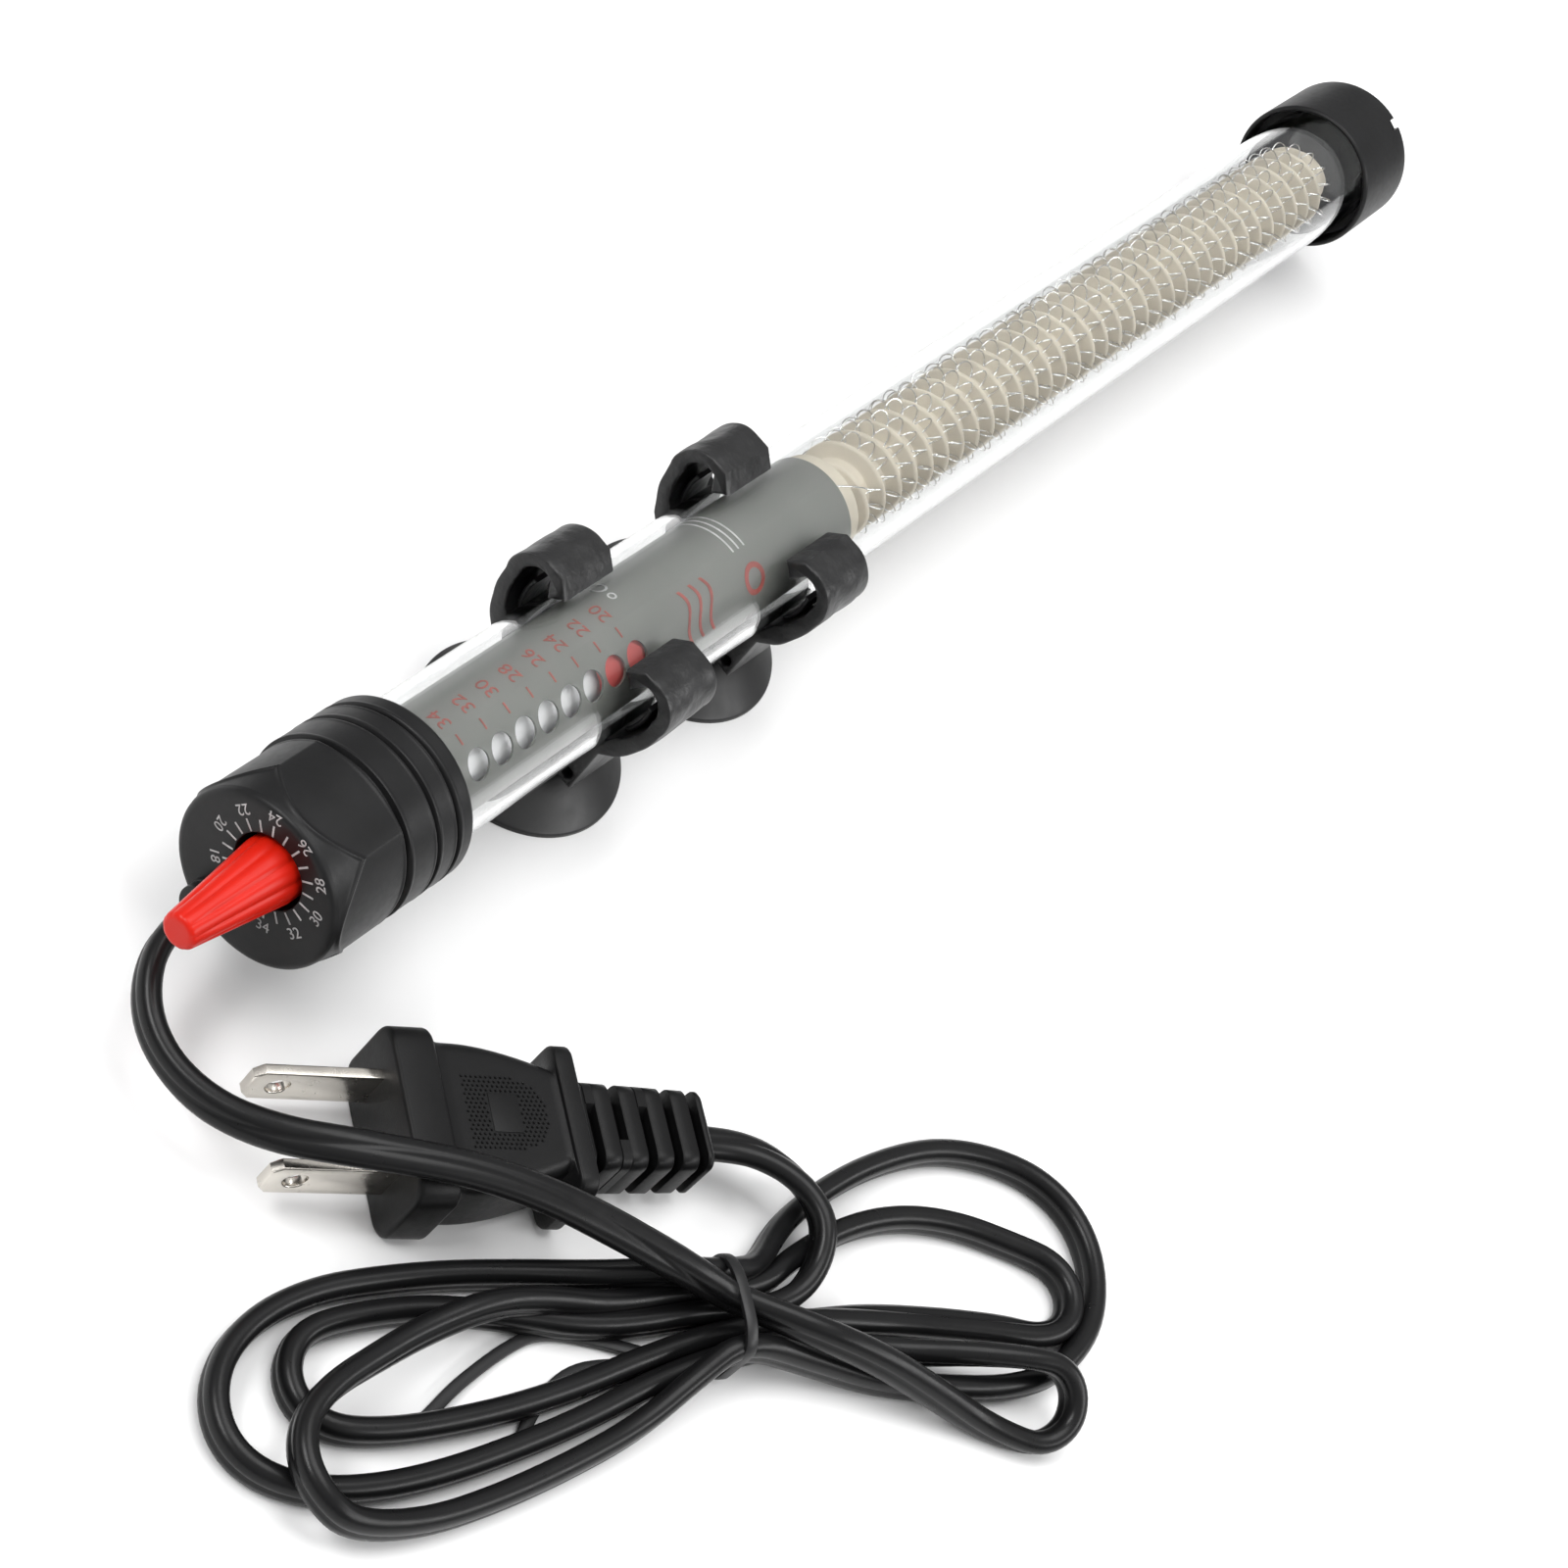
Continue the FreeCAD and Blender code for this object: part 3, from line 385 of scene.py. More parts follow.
# A point is x, y, z in mm and how far the flat cord is turned onto its edge, in degrees. Where the
# turn is left out the cord is on its edge, and where z is too it stands on the floor.
LEAD = [
    (-144, 2.6, 12.6), (-149, 2.6, 12.4), (-154.5, 0.4, 11.3), (-158.6, -4.4, 10), (-160.4, -10.8, 9.6),
    (-160.2, -18, 10.6, 70), (-157.6, -25.2, 13, 45), (-152.6, -32, 15.6, 20), (-146.4, -38.4, 16.4, 0),
    (-140.2, -44.8, 16.4, 0), (-134.2, -52.2, 15.6, 10), (-128.8, -60, 14, 30),
    (-124.4, -66.8, 12.4, 50), (-120.9, -71.8, 10.8, 80),
]
LONG_LOOP = [
    (-113, -86, 11.2, 80), (-106.5, -94.5, 9.6, 75), (-100.4, -102.6, 6.2, 80), (-95.6, -109.2, 3.2),
    (-92, -114.6, 2.4, 105), (-88.8, -118.3, 2.6, 120), (-84.6, -118.9, 4.4, 105),
    (-81.9, -116.2, 6.8, 75), (-82.1, -112, 8.4, 60), (-85.4, -108.4, 8.2, 60), (-91, -102.9, 6.6, 75),
    (-97, -96.6, 3), (-104.3, -90, 2.5), (-111.5, -84.8, 3),
]
LEFT_OUTER_LOOP = [
    (-131, -77.3, 2.6), (-143, -74.8), (-155, -71.3), (-165, -67.8), (-173, -64), (-179.5, -59.5),
    (-183.5, -54), (-184, -48.5), (-181, -43.5), (-175.5, -40.5), (-168, -40), (-160, -42), (-152, -46),
    (-144, -50.6), (-136, -56.2, 2.8), (-127, -63.4, 4.4), (-121, -68.6, 7.4),
]
RIGHT_OUTER_LOOP = [
    (-108, -75.5, 4.5), (-98, -73.5), (-88, -74), (-78, -76), (-68, -80), (-61, -86), (-56.5, -93),
    (-56, -100.5), (-60, -107.5), (-68, -112.6), (-78, -113.4), (-87, -109.8), (-95, -104),
    (-103.3, -97), (-111.3, -89.2, 4.8),
]
LEFT_OVER_LOOP = [
    (-127.5, -80.4, 5), (-138, -80, 2.6), (-150, -77.5), (-161, -74.5), (-171, -71, 3),
    (-180, -65.7, 5), (-181.9, -60.9, 6.9), (-180.6, -56.05, 7.2), (-176.8, -52.8, 7.2),
    (-171, -51.9, 7.2), (-163, -52.8, 6.4, 80), (-155, -54, 6.4, 75), (-146, -56.6, 7.2, 80),
    (-138, -60.6, 5.6), (-129, -66.8, 3.4),
]
RIGHT_MIDDLE_LOOP = [
    (-108.8, -77.6, 3.1), (-100, -77.8), (-90, -79.5), (-81, -83.5), (-74, -89.5), (-69, -96.5),
    (-65.2, -102.4), (-66.3, -107.3, 2.4, 85), (-70.4, -109.9, 2.2, 70), (-75.2, -108.7, 2.1, 50),
    (-80.2, -103.6, 1.9, 25), (-88, -97, 1.8, 20), (-97, -90, 1.9, 35), (-106.4, -84.2, 2.4, 80),
]
LEFT_INNER_LOOP = [
    (-130, -74.3, 2.6), (-140, -71.5), (-150, -68), (-159, -64), (-166.4, -60), (-172.1, -55.5),
    (-173.3, -50.6), (-170.8, -46.3), (-165.5, -44.6), (-158.3, -47.4), (-150, -52), (-142, -58.6),
    (-132, -68, 2.6),
]
TAIL = [
    (-111.2, -79.8, 3.2), (-105, -81.8, 3.8), (-100.2, -80.8, 5.4), (-96.6, -77.8, 7.4, 80),
    (-95, -73.6, 7.8, 60), (-95.2, -69, 7.7, 40), (-96.8, -64.6, 7.4, 20), (-99.9, -60.9, 7, 5),
    (-103.8, -58, 7, 0),
]


def tied(across, z):
    """Point where a strand crosses the plane of the tie."""
    return (TIE_X - across * sin(TIE_BEARING), TIE_Y + across * cos(TIE_BEARING), z)


ROUTE = (
    LEAD + [tied(1.0, 8.6)]
    + LONG_LOOP + [tied(-4.7, 3.3)]
    + LEFT_OUTER_LOOP + [tied(4.7, 8.15)]
    + RIGHT_OUTER_LOOP + [tied(-4.7, 8.15)]
    + LEFT_OVER_LOOP + [tied(4.7, 3.3)]
    + RIGHT_MIDDLE_LOOP + [tied(-1.6, 3.3)]
    + LEFT_INNER_LOOP + [tied(1.6, 3.3)]
    + TAIL
)
CORD_ROUTE = [point + ON_EDGE[len(point) - 2:] for point in ROUTE]


def stadium(width, thick, groove, steps=7):
    """Section of the flat cord, with a faint groove along the middle of each face."""
    r = thick / 2
    c = width / 2 - r
    points = []
    for side in (1, -1):
        for k in range(steps + 1):
            a = pi * (k / steps - 0.5)
            points.append((side * (c + r * cos(a)), side * r * sin(a)))
        points.append((side * c / 2.5, side * r))
        points.append((0.0, side * (r - groove)))
        points.append((-side * c / 2.5, side * r))
    return points


def section_object(name, outline):
    curve = bpy.data.curves.new(name, "CURVE")
    poly_line(curve, outline).use_cyclic_u = True
    made = new_object(name, curve)
    made.hide_render = True
    made.hide_viewport = True
    return made


def power_cord():
    curve = bpy.data.curves.new("power_cord", "CURVE")
    curve.dimensions = "3D"
    curve.twist_mode = "Z_UP"
    curve.resolution_u = 6
    line = curve.splines.new("NURBS")
    line.points.add(len(CORD_ROUTE) - 1)
    for point, (x, y, z, tilt) in zip(line.points, CORD_ROUTE):
        point.co = (x * MM, y * MM, z * MM, 1)
        point.tilt = radians(tilt)
    line.order_u = 3
    line.use_endpoint_u = True
    curve.bevel_mode = "OBJECT"
    curve.bevel_object = section_object("cord_section", stadium(CORD_WIDTH, CORD_THICK, GROOVE))
    curve.use_fill_caps = True
    curve.materials.append(CORD)
    made = new_object("power_cord", curve)
    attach(made, "heater")
    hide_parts("cord_lead", "cord_tail", "cord_hank")
    return made


cord = power_cord()

# ---- head

HEAD_CORNERS = 5
HEAD_CORNER_R = 13.05
HEAD_FLAT_R = 12.42
HEAD_FIRST_CORNER = 52.0
FACE_R = 11.7
FACE_EDGE = 0.5               # how far inside FACE_R the flat face ends
FACE_ROUND = 0.9
CONE_START = (0.6, 12.3)      # from the face, radius
CONE_END = (6.0, 13.05)
COLLAR_START = 14.1
COLLAR_R = 12.9
COLLAR_END = 27.1
COLLAR_LEAD = 1.2
COLLAR_ROUND = 0.8
RING_LINES = (14.1, 19.8, 23.8)
LINE_DEPTH, LINE_HALF_W = 0.55, 0.27
LIP_HEIGHT, LIP_W, LIP_FROM_LINE = 0.07, 0.16, 0.62
CREASE_DIP, CREASE_DIP_W = 0.02, 0.03
BEAD, BEAD_W, BEAD_FROM_CREASE = 0.26, 0.045, 0.01
WELL_R = 5.2
WELL_DEPTH = 5.0
WELL_ROUND = 0.3
HEAD_WALL = 8.5
STATION_FIRST, STATION_STEP = 1.0, 0.15


def pentagon_radius(angle):
    """Bulged flats between soft corners."""
    step = 360 / HEAD_CORNERS
    t = ((degrees(angle) - HEAD_FIRST_CORNER) % step) / step
    share = 1 - abs(2 * t - 1)
    return HEAD_CORNER_R - (HEAD_CORNER_R - HEAD_FLAT_R) * sin(share * pi / 2) ** 0.9


def head_radius(x, angle):
    """Outer radius of the head at x mm from its face."""
    if x >= COLLAR_START + 0.3:
        radius = COLLAR_R
    else:
        slope = (CONE_END[1] - CONE_START[1]) / (CONE_END[0] - CONE_START[0])
        cone = CONE_START[1] + slope * (x - CONE_START[0])
        flat = pentagon_radius(angle)
        gap = cone - flat
        radius = min(cone, flat) - CREASE_DIP * exp(-(gap / CREASE_DIP_W) ** 2)
        radius += BEAD * exp(-((gap - BEAD_FROM_CREASE) / BEAD_W) ** 2)
        if x > COLLAR_START - COLLAR_LEAD:
            share = min(1.0, (x - COLLAR_START + COLLAR_LEAD) / COLLAR_LEAD)
            radius += (COLLAR_R - 0.15 - radius) * share ** 3
    for at in RING_LINES:
        radius -= LINE_DEPTH * exp(-((x - at) / LINE_HALF_W) ** 4)
        radius += LIP_HEIGHT * exp(-((abs(x - at) - LIP_FROM_LINE) / LIP_W) ** 2)
    past = x - COLLAR_END + COLLAR_ROUND
    if past > 0:
        radius -= COLLAR_ROUND - sqrt(max(0.0, COLLAR_ROUND ** 2 - past ** 2))
    return radius


def head():
    """Skin from the floor of the dial well, over the face and the collar, to the wall inside."""
    count = 360
    angles = [2 * pi * k / count for k in range(count)]
    lip = WELL_R + 0.2
    rim = FACE_R - FACE_EDGE

    def dial_ring(x, radius):
        return circle(FACE_X + x, radius, DIAL_Y, DIAL_Z, count)

    def face_ring(share):
        ring = []
        for a in angles:
            y0, z0 = DIAL_Y + lip * cos(a), DIAL_Z + lip * sin(a)
            y1, z1 = rim * cos(a), AXIS_Z + rim * sin(a)
            ring.append((FACE_X, y0 + (y1 - y0) * share, z0 + (z1 - z0) * share))
        return ring

    def outer_ring(x):
        radii = [head_radius(x, a) for a in angles]
        return [(FACE_X + x, r * cos(a), AXIS_Z + r * sin(a)) for r, a in zip(radii, angles)]

    rings = [[(FACE_X + WELL_DEPTH, DIAL_Y, DIAL_Z)], dial_ring(WELL_DEPTH, 2.0)]
    rings += [dial_ring(WELL_DEPTH, WELL_R - WELL_ROUND), dial_ring(WELL_DEPTH - WELL_ROUND, WELL_R)]
    rings += [dial_ring(WELL_DEPTH * k, WELL_R) for k in (0.75, 0.5, 0.25, 0.06)]
    rings += [dial_ring(0.04, WELL_R + 0.08)]
    rings += [face_ring(k / 6) for k in range(7)]
    for k in range(1, 6):
        t = pi / 2 * k / 5
        x = FACE_ROUND * (1 - cos(t))
        rings.append(circle(FACE_X + x, rim + (CONE_START[1] - rim) * sin(t), count=count))
    stations = int((COLLAR_END - STATION_FIRST) / STATION_STEP)
    rings += [outer_ring(STATION_FIRST + STATION_STEP * k) for k in range(stations)]
    rings.append(outer_ring(COLLAR_END))
    inside = ((COLLAR_END, TUBE_R + 0.15), (COLLAR_END - 0.2, TUBE_R), (HEAD_WALL, TUBE_R), (HEAD_WALL, 0))
    rings += [circle(FACE_X + x, r, count=count) for x, r in inside]
    return piece("head_shell", loft(rings), "heater", "black_rubber", RUBBER, "head_cap", sharp=40)


def gland():
    """Short boot that the cord leaves the head by."""
    low, high = GLAND_LOW.x, GLAND_HIGH.x
    profile = [(low, 0, 0), (low, 2.75, 0), (low, 3.1, 0.3), (FACE_X - 0.9, 3.1, 0.2),
               (FACE_X - 0.75, 2.8, 0.2), (FACE_X - 0.6, 3.1, 0.2), (FACE_X + 0.4, 3.1, 0),
               (FACE_X + 0.4, 2.6, 0), (high, 2.6, 0), (high, 0, 0)]
    mesh = lathe(profile, GLAND_Y, GLAND_Z, 72)
    return piece("cord_boot", mesh, "heater", "black_rubber", RUBBER, "cord_gland")


head()
boot = gland()

# ---- dial marks

DIAL_FIRST_C = 18
DIAL_LAST_C = 34
DIAL_FIRST_ANGLE = -40.0
DIAL_STEP = 17.7              # degrees of turn for each degree of the scale
TICK_IN, TICK_OUT = 5.45, 7.1
TICK_WIDTH = 0.28
DIGIT_R = 8.35
DIGIT_SIZE = 2.15
INK = 0.03


def ink(outlines):
    return slab(outlines, INK, INK / 4)


def text_mesh(text, size):
    """Flat lettering about its own centre, in metres."""
    curve = bpy.data.curves.new("text", "FONT")
    curve.body = text
    curve.size = size * MM
    curve.align_x = "CENTER"
    curve.align_y = "CENTER"
    curve.extrude = INK * MM / 2
    curve.resolution_u = 3
    mesh = from_curve(curve)
    weld(mesh, 0.001)
    return mesh


def on_face(mesh, angle, radius, spin):
    """Place a flat mesh on the head's face, its top turned by spin."""
    a = radians(angle)
    y, z = DIAL_Y + radius * cos(a), DIAL_Z + radius * sin(a)
    outward = Matrix(((0, 0, -1), (-1, 0, 0), (0, 1, 0))).to_4x4()
    at = Matrix.Translation(Vector((FACE_X - INK / 2, y, z)) * MM)
    mesh.transform(at @ outward @ Matrix.Rotation(spin, 4, "Z"))
    return mesh


def dial_marks():
    half = TICK_WIDTH / 2
    parts = []
    for degree in range(DIAL_FIRST_C, DIAL_LAST_C + 1):
        angle = DIAL_FIRST_ANGLE + DIAL_STEP * (degree - DIAL_FIRST_C)
        bar = ink([[(TICK_IN, -half), (TICK_OUT, -half), (TICK_OUT, half), (TICK_IN, half)]])
        # seen from in front, the face has -Y to the right and +Z up
        spin = pi - radians(angle)
        parts.append(on_face(bar, 0, 0, spin))
        if degree % 2 == 0:
            parts.append(on_face(text_mesh(str(degree), DIGIT_SIZE), angle, DIGIT_R, spin + pi / 2))
    return piece("dial_marks", join(*parts), "heater", "white_plastic", INK_GREY)


dial_marks()

# ---- knob

KNOB_TIP_R = 2.45
KNOB_R = 4.55
FLUTES = 10
FLUTE_DEPTH = 0.32
TIP_ROUND = 0.7
FLUTE_FULL = 5.0              # from the tip, where the flutes reach their full depth


def flute_depth(x):
    """Depth of the flutes at x mm from the tip: faint on the tip's round edge, then growing."""
    depth = FLUTE_DEPTH * (0.35 + 0.65 * min(1.0, max(0.0, (x - 1.0) / (FLUTE_FULL - 1.0))))
    if x < 1.0:
        depth *= 0.4 + 0.6 * x
    return depth


def knob():
    count = 240
    length = KNOB_HIGH.x - KNOB_LOW.x
    out = FACE_X - KNOB_LOW.x
    stations = [TIP_ROUND * (1 - cos(pi / 2 * k / 6)) for k in range(7)]
    stations += [TIP_ROUND + (length - TIP_ROUND) * k / 60 for k in range(1, 61)]
    rings = [[(KNOB_LOW.x, DIAL_Y, DIAL_Z)],
             circle(KNOB_LOW.x, KNOB_TIP_R - TIP_ROUND - 0.2, DIAL_Y, DIAL_Z, count)]
    for x in stations:
        base = KNOB_TIP_R + (KNOB_R - KNOB_TIP_R) * min(1.0, x / out)
        if x < TIP_ROUND:
            base -= TIP_ROUND - sqrt(TIP_ROUND ** 2 - (TIP_ROUND - x) ** 2)
        ring = []
        for k in range(count):
            a = 2 * pi * k / count
            wave = 0.5 - 0.5 * cos(FLUTES * a)
            r = base - flute_depth(x) * (1 - sqrt(1 - (1 - wave) ** 2 * 0.96))
            ring.append((KNOB_LOW.x + x, DIAL_Y + r * cos(a), DIAL_Z + r * sin(a)))
        rings.append(ring)
    rings.append([(KNOB_HIGH.x, DIAL_Y, DIAL_Z)])
    return piece("fluted_knob", loft(rings), "knob", "red_plastic", RED, "adjusting_knob", sharp=50)


knob()

# ---- glass


DOME = 5.5
DOME_STEPS = 14
DOME_POWER = 0.6              # under 1 makes the end squarer than a ball


def glass():
    """Tube with a closed round end. One skin runs over the outside, round the open rim and back inside."""
    inner = TUBE_R - TUBE_WALL
    start, end = GLASS_LOW.x, GLASS_HIGH.x
    turns = [pi / 2 * k / DOME_STEPS for k in range(DOME_STEPS)]

    def dome(t, radius, depth):
        return (end - DOME + depth * sin(t), radius * cos(t) ** DOME_POWER)

    middle = (TUBE_R + inner) / 2
    rim = [(start + 0.3, TUBE_R), (start, middle + 0.3), (start, middle - 0.3), (start + 0.3, inner)]
    # short bands beside each bend keep the shading of the long straight wall true
    bands = (end - DOME - 0.5, start + 0.8)
    outer = [dome(t, TUBE_R, DOME) for t in reversed(turns)] + [(x, TUBE_R) for x in bands]
    lining = [(x, inner) for x in reversed(bands)] + [dome(t, inner, DOME - TUBE_WALL) for t in turns]
    skin = [(end, 0)] + outer + rim + lining + [(end - TUBE_WALL, 0)]
    mesh = loft([circle(x, r) for x, r in skin])
    return piece("glass_envelope", mesh, "heater", "clear_glass", GLASS, "glass_tube", sharp=60)


glass()

# ---- heating element

FLANGE_L = 3.6
FLANGE_R = 7.6
CORE_R = 5.0
RIDGE_R = 7.1
PITCH = 4.46
TURNS = 34.4
RIDGE_W = 1.15
COIL_MIDDLE_R = 6.35
COIL_R = 1.52
COILS_PER_TURN = 16.12
WIRE_R = 0.11
HELIX_X = FORMER_X + FLANGE_L - 0.6
BORE_R = 2.0
STEPS_PER_TURN = 96
RUN_OUT = 40                  # steps over which the ridge rises and falls at its ends
POINTS_PER_COIL = 14
COIL_FIRST, COIL_LAST = 0.35, TURNS - 0.8
COIL_END_R = ((0.0, FLANGE_R + 0.1), (0.3, FLANGE_R + 0.25), (0.6, FLANGE_R + 0.2), (0.85, FLANGE_R - 0.6))


def former():
    """Plain flange, then one helical ridge that runs to the far end."""
    half = RIDGE_W / 2
    rise = [(half + 0.35, CORE_R), (half + 0.12, CORE_R + 0.3), (half * 0.8, RIDGE_R - 0.35),
            (half * 0.45, RIDGE_R - 0.05)]
    profile = [(0.0, CORE_R)] + [(PITCH / 2 - u, r) for u, r in rise] + [(PITCH / 2, RIDGE_R)]
    profile += [(PITCH / 2 + u, r) for u, r in reversed(rise)] + [(PITCH, CORE_R)]
    total = int(TURNS * STEPS_PER_TURN)
    points = []
    for i in range(total + 1):
        a = 2 * pi * i / STEPS_PER_TURN
        grown = min(1.0, i / RUN_OUT) * min(1.0, (total - i) / RUN_OUT)
        for along, radius in profile:
            r = CORE_R + (radius - CORE_R) * grown
            points.append((HELIX_X + PITCH * i / STEPS_PER_TURN + along, r * cos(a), AXIS_Z + r * sin(a)))
    width = len(profile)
    firsts = [i * width + j for i in range(total) for j in range(width - 1)]
    ridge = mesh_of(points, [(k, k + 1, k + width + 1, k + width) for k in firsts])
    weld(ridge, 0.003)
    low, face = FORMER_X, FORMER_X + FLANGE_L
    flange = lathe([(low, BORE_R, 0), (low, FLANGE_R, 0.35), (face, FLANGE_R, 0.45), (face, CORE_R, 0.3),
                    (face + 3.0, CORE_R - 0.02, 0), (face + 3.0, BORE_R, 0)], joined=True)
    high = HELIX_X + PITCH * (TURNS + 0.9)
    end = lathe([(high - 4.6, BORE_R, 0), (high - 4.6, CORE_R - 0.02, 0), (high, CORE_R, 0.3),
                 (high, BORE_R, 0)], joined=True)
    mesh = join(ridge, flange, end)
    return piece("ribbed_former", mesh, "heater", "ceramic", CERAMIC, "ceramic_former", sharp=50)


def coiled_wire():
    """Stretched coil of wire lying in the former's groove, its loops standing above the ridge."""
    total = int((COIL_LAST - COIL_FIRST) * COILS_PER_TURN * POINTS_PER_COIL)
    points = []
    for i in range(total + 1):
        turn = COIL_FIRST + (COIL_LAST - COIL_FIRST) * i / total
        a = 2 * pi * turn
        phase = 2 * pi * i / POINTS_PER_COIL
        size = 1 + 0.07 * sin(turn * 9.1) + 0.05 * sin(turn * 23.7)
        r = COIL_MIDDLE_R + COIL_R * size * cos(phase)
        x = HELIX_X + PITCH * (turn + 1.0) + COIL_R * 1.02 * sin(phase) + 0.12 * sin(turn * 17.0)
        points.append((x, r * cos(a), AXIS_Z + r * sin(a)))
    hook = FORMER_X + 0.6
    lead = []
    for share, r in COIL_END_R:
        a = 2 * pi * COIL_FIRST - 0.5 * (1 - share)
        lead.append((hook + (points[0][0] - hook) * share, r * cos(a), AXIS_Z + r * sin(a)))
    mesh = rod(lead + points, WIRE_R)
    return piece("coiled_wire", mesh, "heater", "resistance_wire", WIRE, "heating_coil", sharp=60)


former()
coiled_wire()

# ---- end cap

CAP_R = 12.6
CAP_GAP_R = 11.9
CAP_GAP_L = 5.0
NOTCH_ANGLE = 107.6
NOTCH_W = 1.8
NOTCH_FLOOR_R = 11.35
NOTCH_L = 3.0


def end_cap():
    low, high = CAP_LOW.x, CAP_HIGH.x
    notch_x = high - NOTCH_L
    half = degrees(NOTCH_W / 2 / CAP_R)
    edges = [NOTCH_ANGLE + side for side in (-half - 0.1, -half, 0, half, half + 0.1)]
    angles = sorted([a for a in range(0, 360, 2) if abs(a - NOTCH_ANGLE) > half + 0.6] + edges)

    def ring(x, radius):
        points = []
        for a in angles:
            in_notch = x >= notch_x - 0.001 and abs(a - NOTCH_ANGLE) <= half + 0.01
            reach = min(radius, NOTCH_FLOOR_R) if in_notch else radius
            t = radians(a)
            points.append((x, reach * cos(t), AXIS_Z + reach * sin(t)))
        return points

    inside = [(notch_x, TUBE_R), (low + CAP_GAP_L + 3.5, TUBE_R), (low + CAP_GAP_L, TUBE_R),
              (low + CAP_GAP_L - 0.2, CAP_GAP_R)]
    outside = rounded([
        (low + 0.3, CAP_GAP_R, 0), (low, CAP_GAP_R + 0.25, 0.1), (low, 12.45, 0.2), (low + 0.4, 12.8, 0.25),
        (notch_x - 0.02, 12.68, 0), (notch_x, 12.68, 0), (high - 1.1, 12.65, 0), (high, 12.5, 1.0),
        (high, 11.4, 0), (high, 8.0, 0),
    ])
    rings = [[(notch_x, 0, AXIS_Z)]] + [ring(x, r) for x, r in inside + outside] + [[(high, 0, AXIS_Z)]]
    return piece("end_cap_shell", loft(rings), "heater", "black_rubber", RUBBER, "end_cap", sharp=40)


end_cap()

# ---- clips and cups

CLIP_W = 11.5
WAVE_STEP, WAVE_LENGTH, WAVE_DEPTH = 0.6, 3.4, 0.24
CLIP_BORE = TUBE_R + 0.05
CLIP_BOTTOM = -14.2
CLIP_OUTER = [(11.0, -5.9), (12.9, -3.9), (14.9, 0.3), (15.6, 4.6), (14.5, 9.4), (10.7, 11.3), (8.2, 11.2)]
CLIP_LOOP = [(9.7, 9.0), (11.7, 8.7), (12.9, 5.6), (12.6, 2.2), (11.2, -0.8)]
PAD_FROM, PAD_TO, TROUGH_END = 55.0, 39.0, -22.0
RELIEF_HOLE = (9.2, -12.4, 0.9)
TONGUE = ((11.3, -1.2), (12.1, 1.6), (11.9, 4.6))
TONGUE_W, TONGUE_THICK = 6.0, 0.75
CUP_PROFILE = [
    (5.0, 0, 0), (4.6, 4.0, 1.5), (2.8, 10.6, 2.0), (0.35, 14.6, 0.5), (0.0, 15.2, 0.1), (0.0, CUP_R, 0.1),
    (0.75, CUP_R, 0.3), (1.9, 14.3, 1.0), (4.6, 10.0, 2.5), (6.1, 4.2, 1.0), (6.5, 2.5, 0.4),
    (8.1, 2.2, 0.2), (8.1, 4.0, 0.2), (9.1, 4.0, 0.3), (9.1, 0, 0),
]


def bore_point(angle):
    a = radians(angle)
    return CLIP_BORE * cos(a), CLIP_BORE * sin(a)


def bore_arc(start, end, steps):
    points = arc_points(bore_point(start), bore_point((start + end) / 2), bore_point(end), steps)
    return points + [bore_point(end)]


def clip_half():
    """One half of the clip's outline, from the middle of its base round to the middle of its trough."""
    root, a, b, c, d, tip, end = CLIP_OUTER
    points = [(0.0, CLIP_BOTTOM), (root[0], CLIP_BOTTOM), root]
    points += arc_points(a, b, c, 20) + arc_points(c, d, tip, 26) + [tip, end]
    points += bore_arc(PAD_FROM, PAD_TO, 4)
    a, b, c, d, end = CLIP_LOOP
    points += arc_points(a, b, c, 16) + arc_points(c, d, end, 14) + [end]
    return points + bore_arc(TROUGH_END, -90, 14)


def uneven(mesh, middle):
    """Give the clip's outside the slight waviness of soft moulded rubber. Its bore stays true."""
    with edited(mesh) as work:
        cuts = int(CLIP_W / WAVE_STEP / 2)
        cut_across(work, [middle + k * WAVE_STEP for k in range(-cuts, cuts + 1)])
        work.normal_update()
        for v in work.verts:
            from_axis = hypot(v.co.y, v.co.z - AXIS_Z * MM) / MM
            if from_axis > CLIP_BORE + 0.9 and v.co.z > (AXIS_Z - 6) * MM:
                inwards = WAVE_DEPTH * (1 - noise.noise(v.co / (WAVE_LENGTH * MM)))
                v.co -= v.normal * inwards * MM


def clip(which):
    middle = centre("clip_" + which).x
    stand = Matrix(((0, 0, 1), (1, 0, 0), (0, 1, 0))).to_4x4()
    place = Matrix.Translation(Vector((middle, 0, AXIS_Z)) * MM) @ stand
    half = clip_half()
    outline = half + [(-u, v) for u, v in reversed(half[1:-1])]
    y, z, radius = RELIEF_HOLE
    holes = [disc(radius, 16, side * y, z) for side in (1, -1)]
    parts = [slab([outline] + holes, CLIP_W, 0.55, place)]
    uneven(parts[0], middle)
    for side in (1, -1):
        a, b, c = [(u * side, v) for u, v in TONGUE]
        outer = arc_points(a, b, c, 8) + [c]
        inner = [(u - TONGUE_THICK * side, v + 0.1) for u, v in reversed(outer)]
        parts.append(slab([outer + inner], TONGUE_W, 0.3, place))
    return piece("rubber_clip_" + which, join(*parts), "clip_" + which, "black_rubber", CLIP_RUBBER,
                 "clip_" + which, sharp=45)


def cup(which):
    mesh = lathe_up(CUP_PROFILE, centre("cup_" + which).x)
    return piece("suction_cup_" + which, mesh, "cup_" + which, "black_rubber", CUP_RUBBER, "cup_" + which,
                 sharp=45)


for which in ("front", "rear"):
    clip(which)
    cup(which)

# ---- sleeve prints

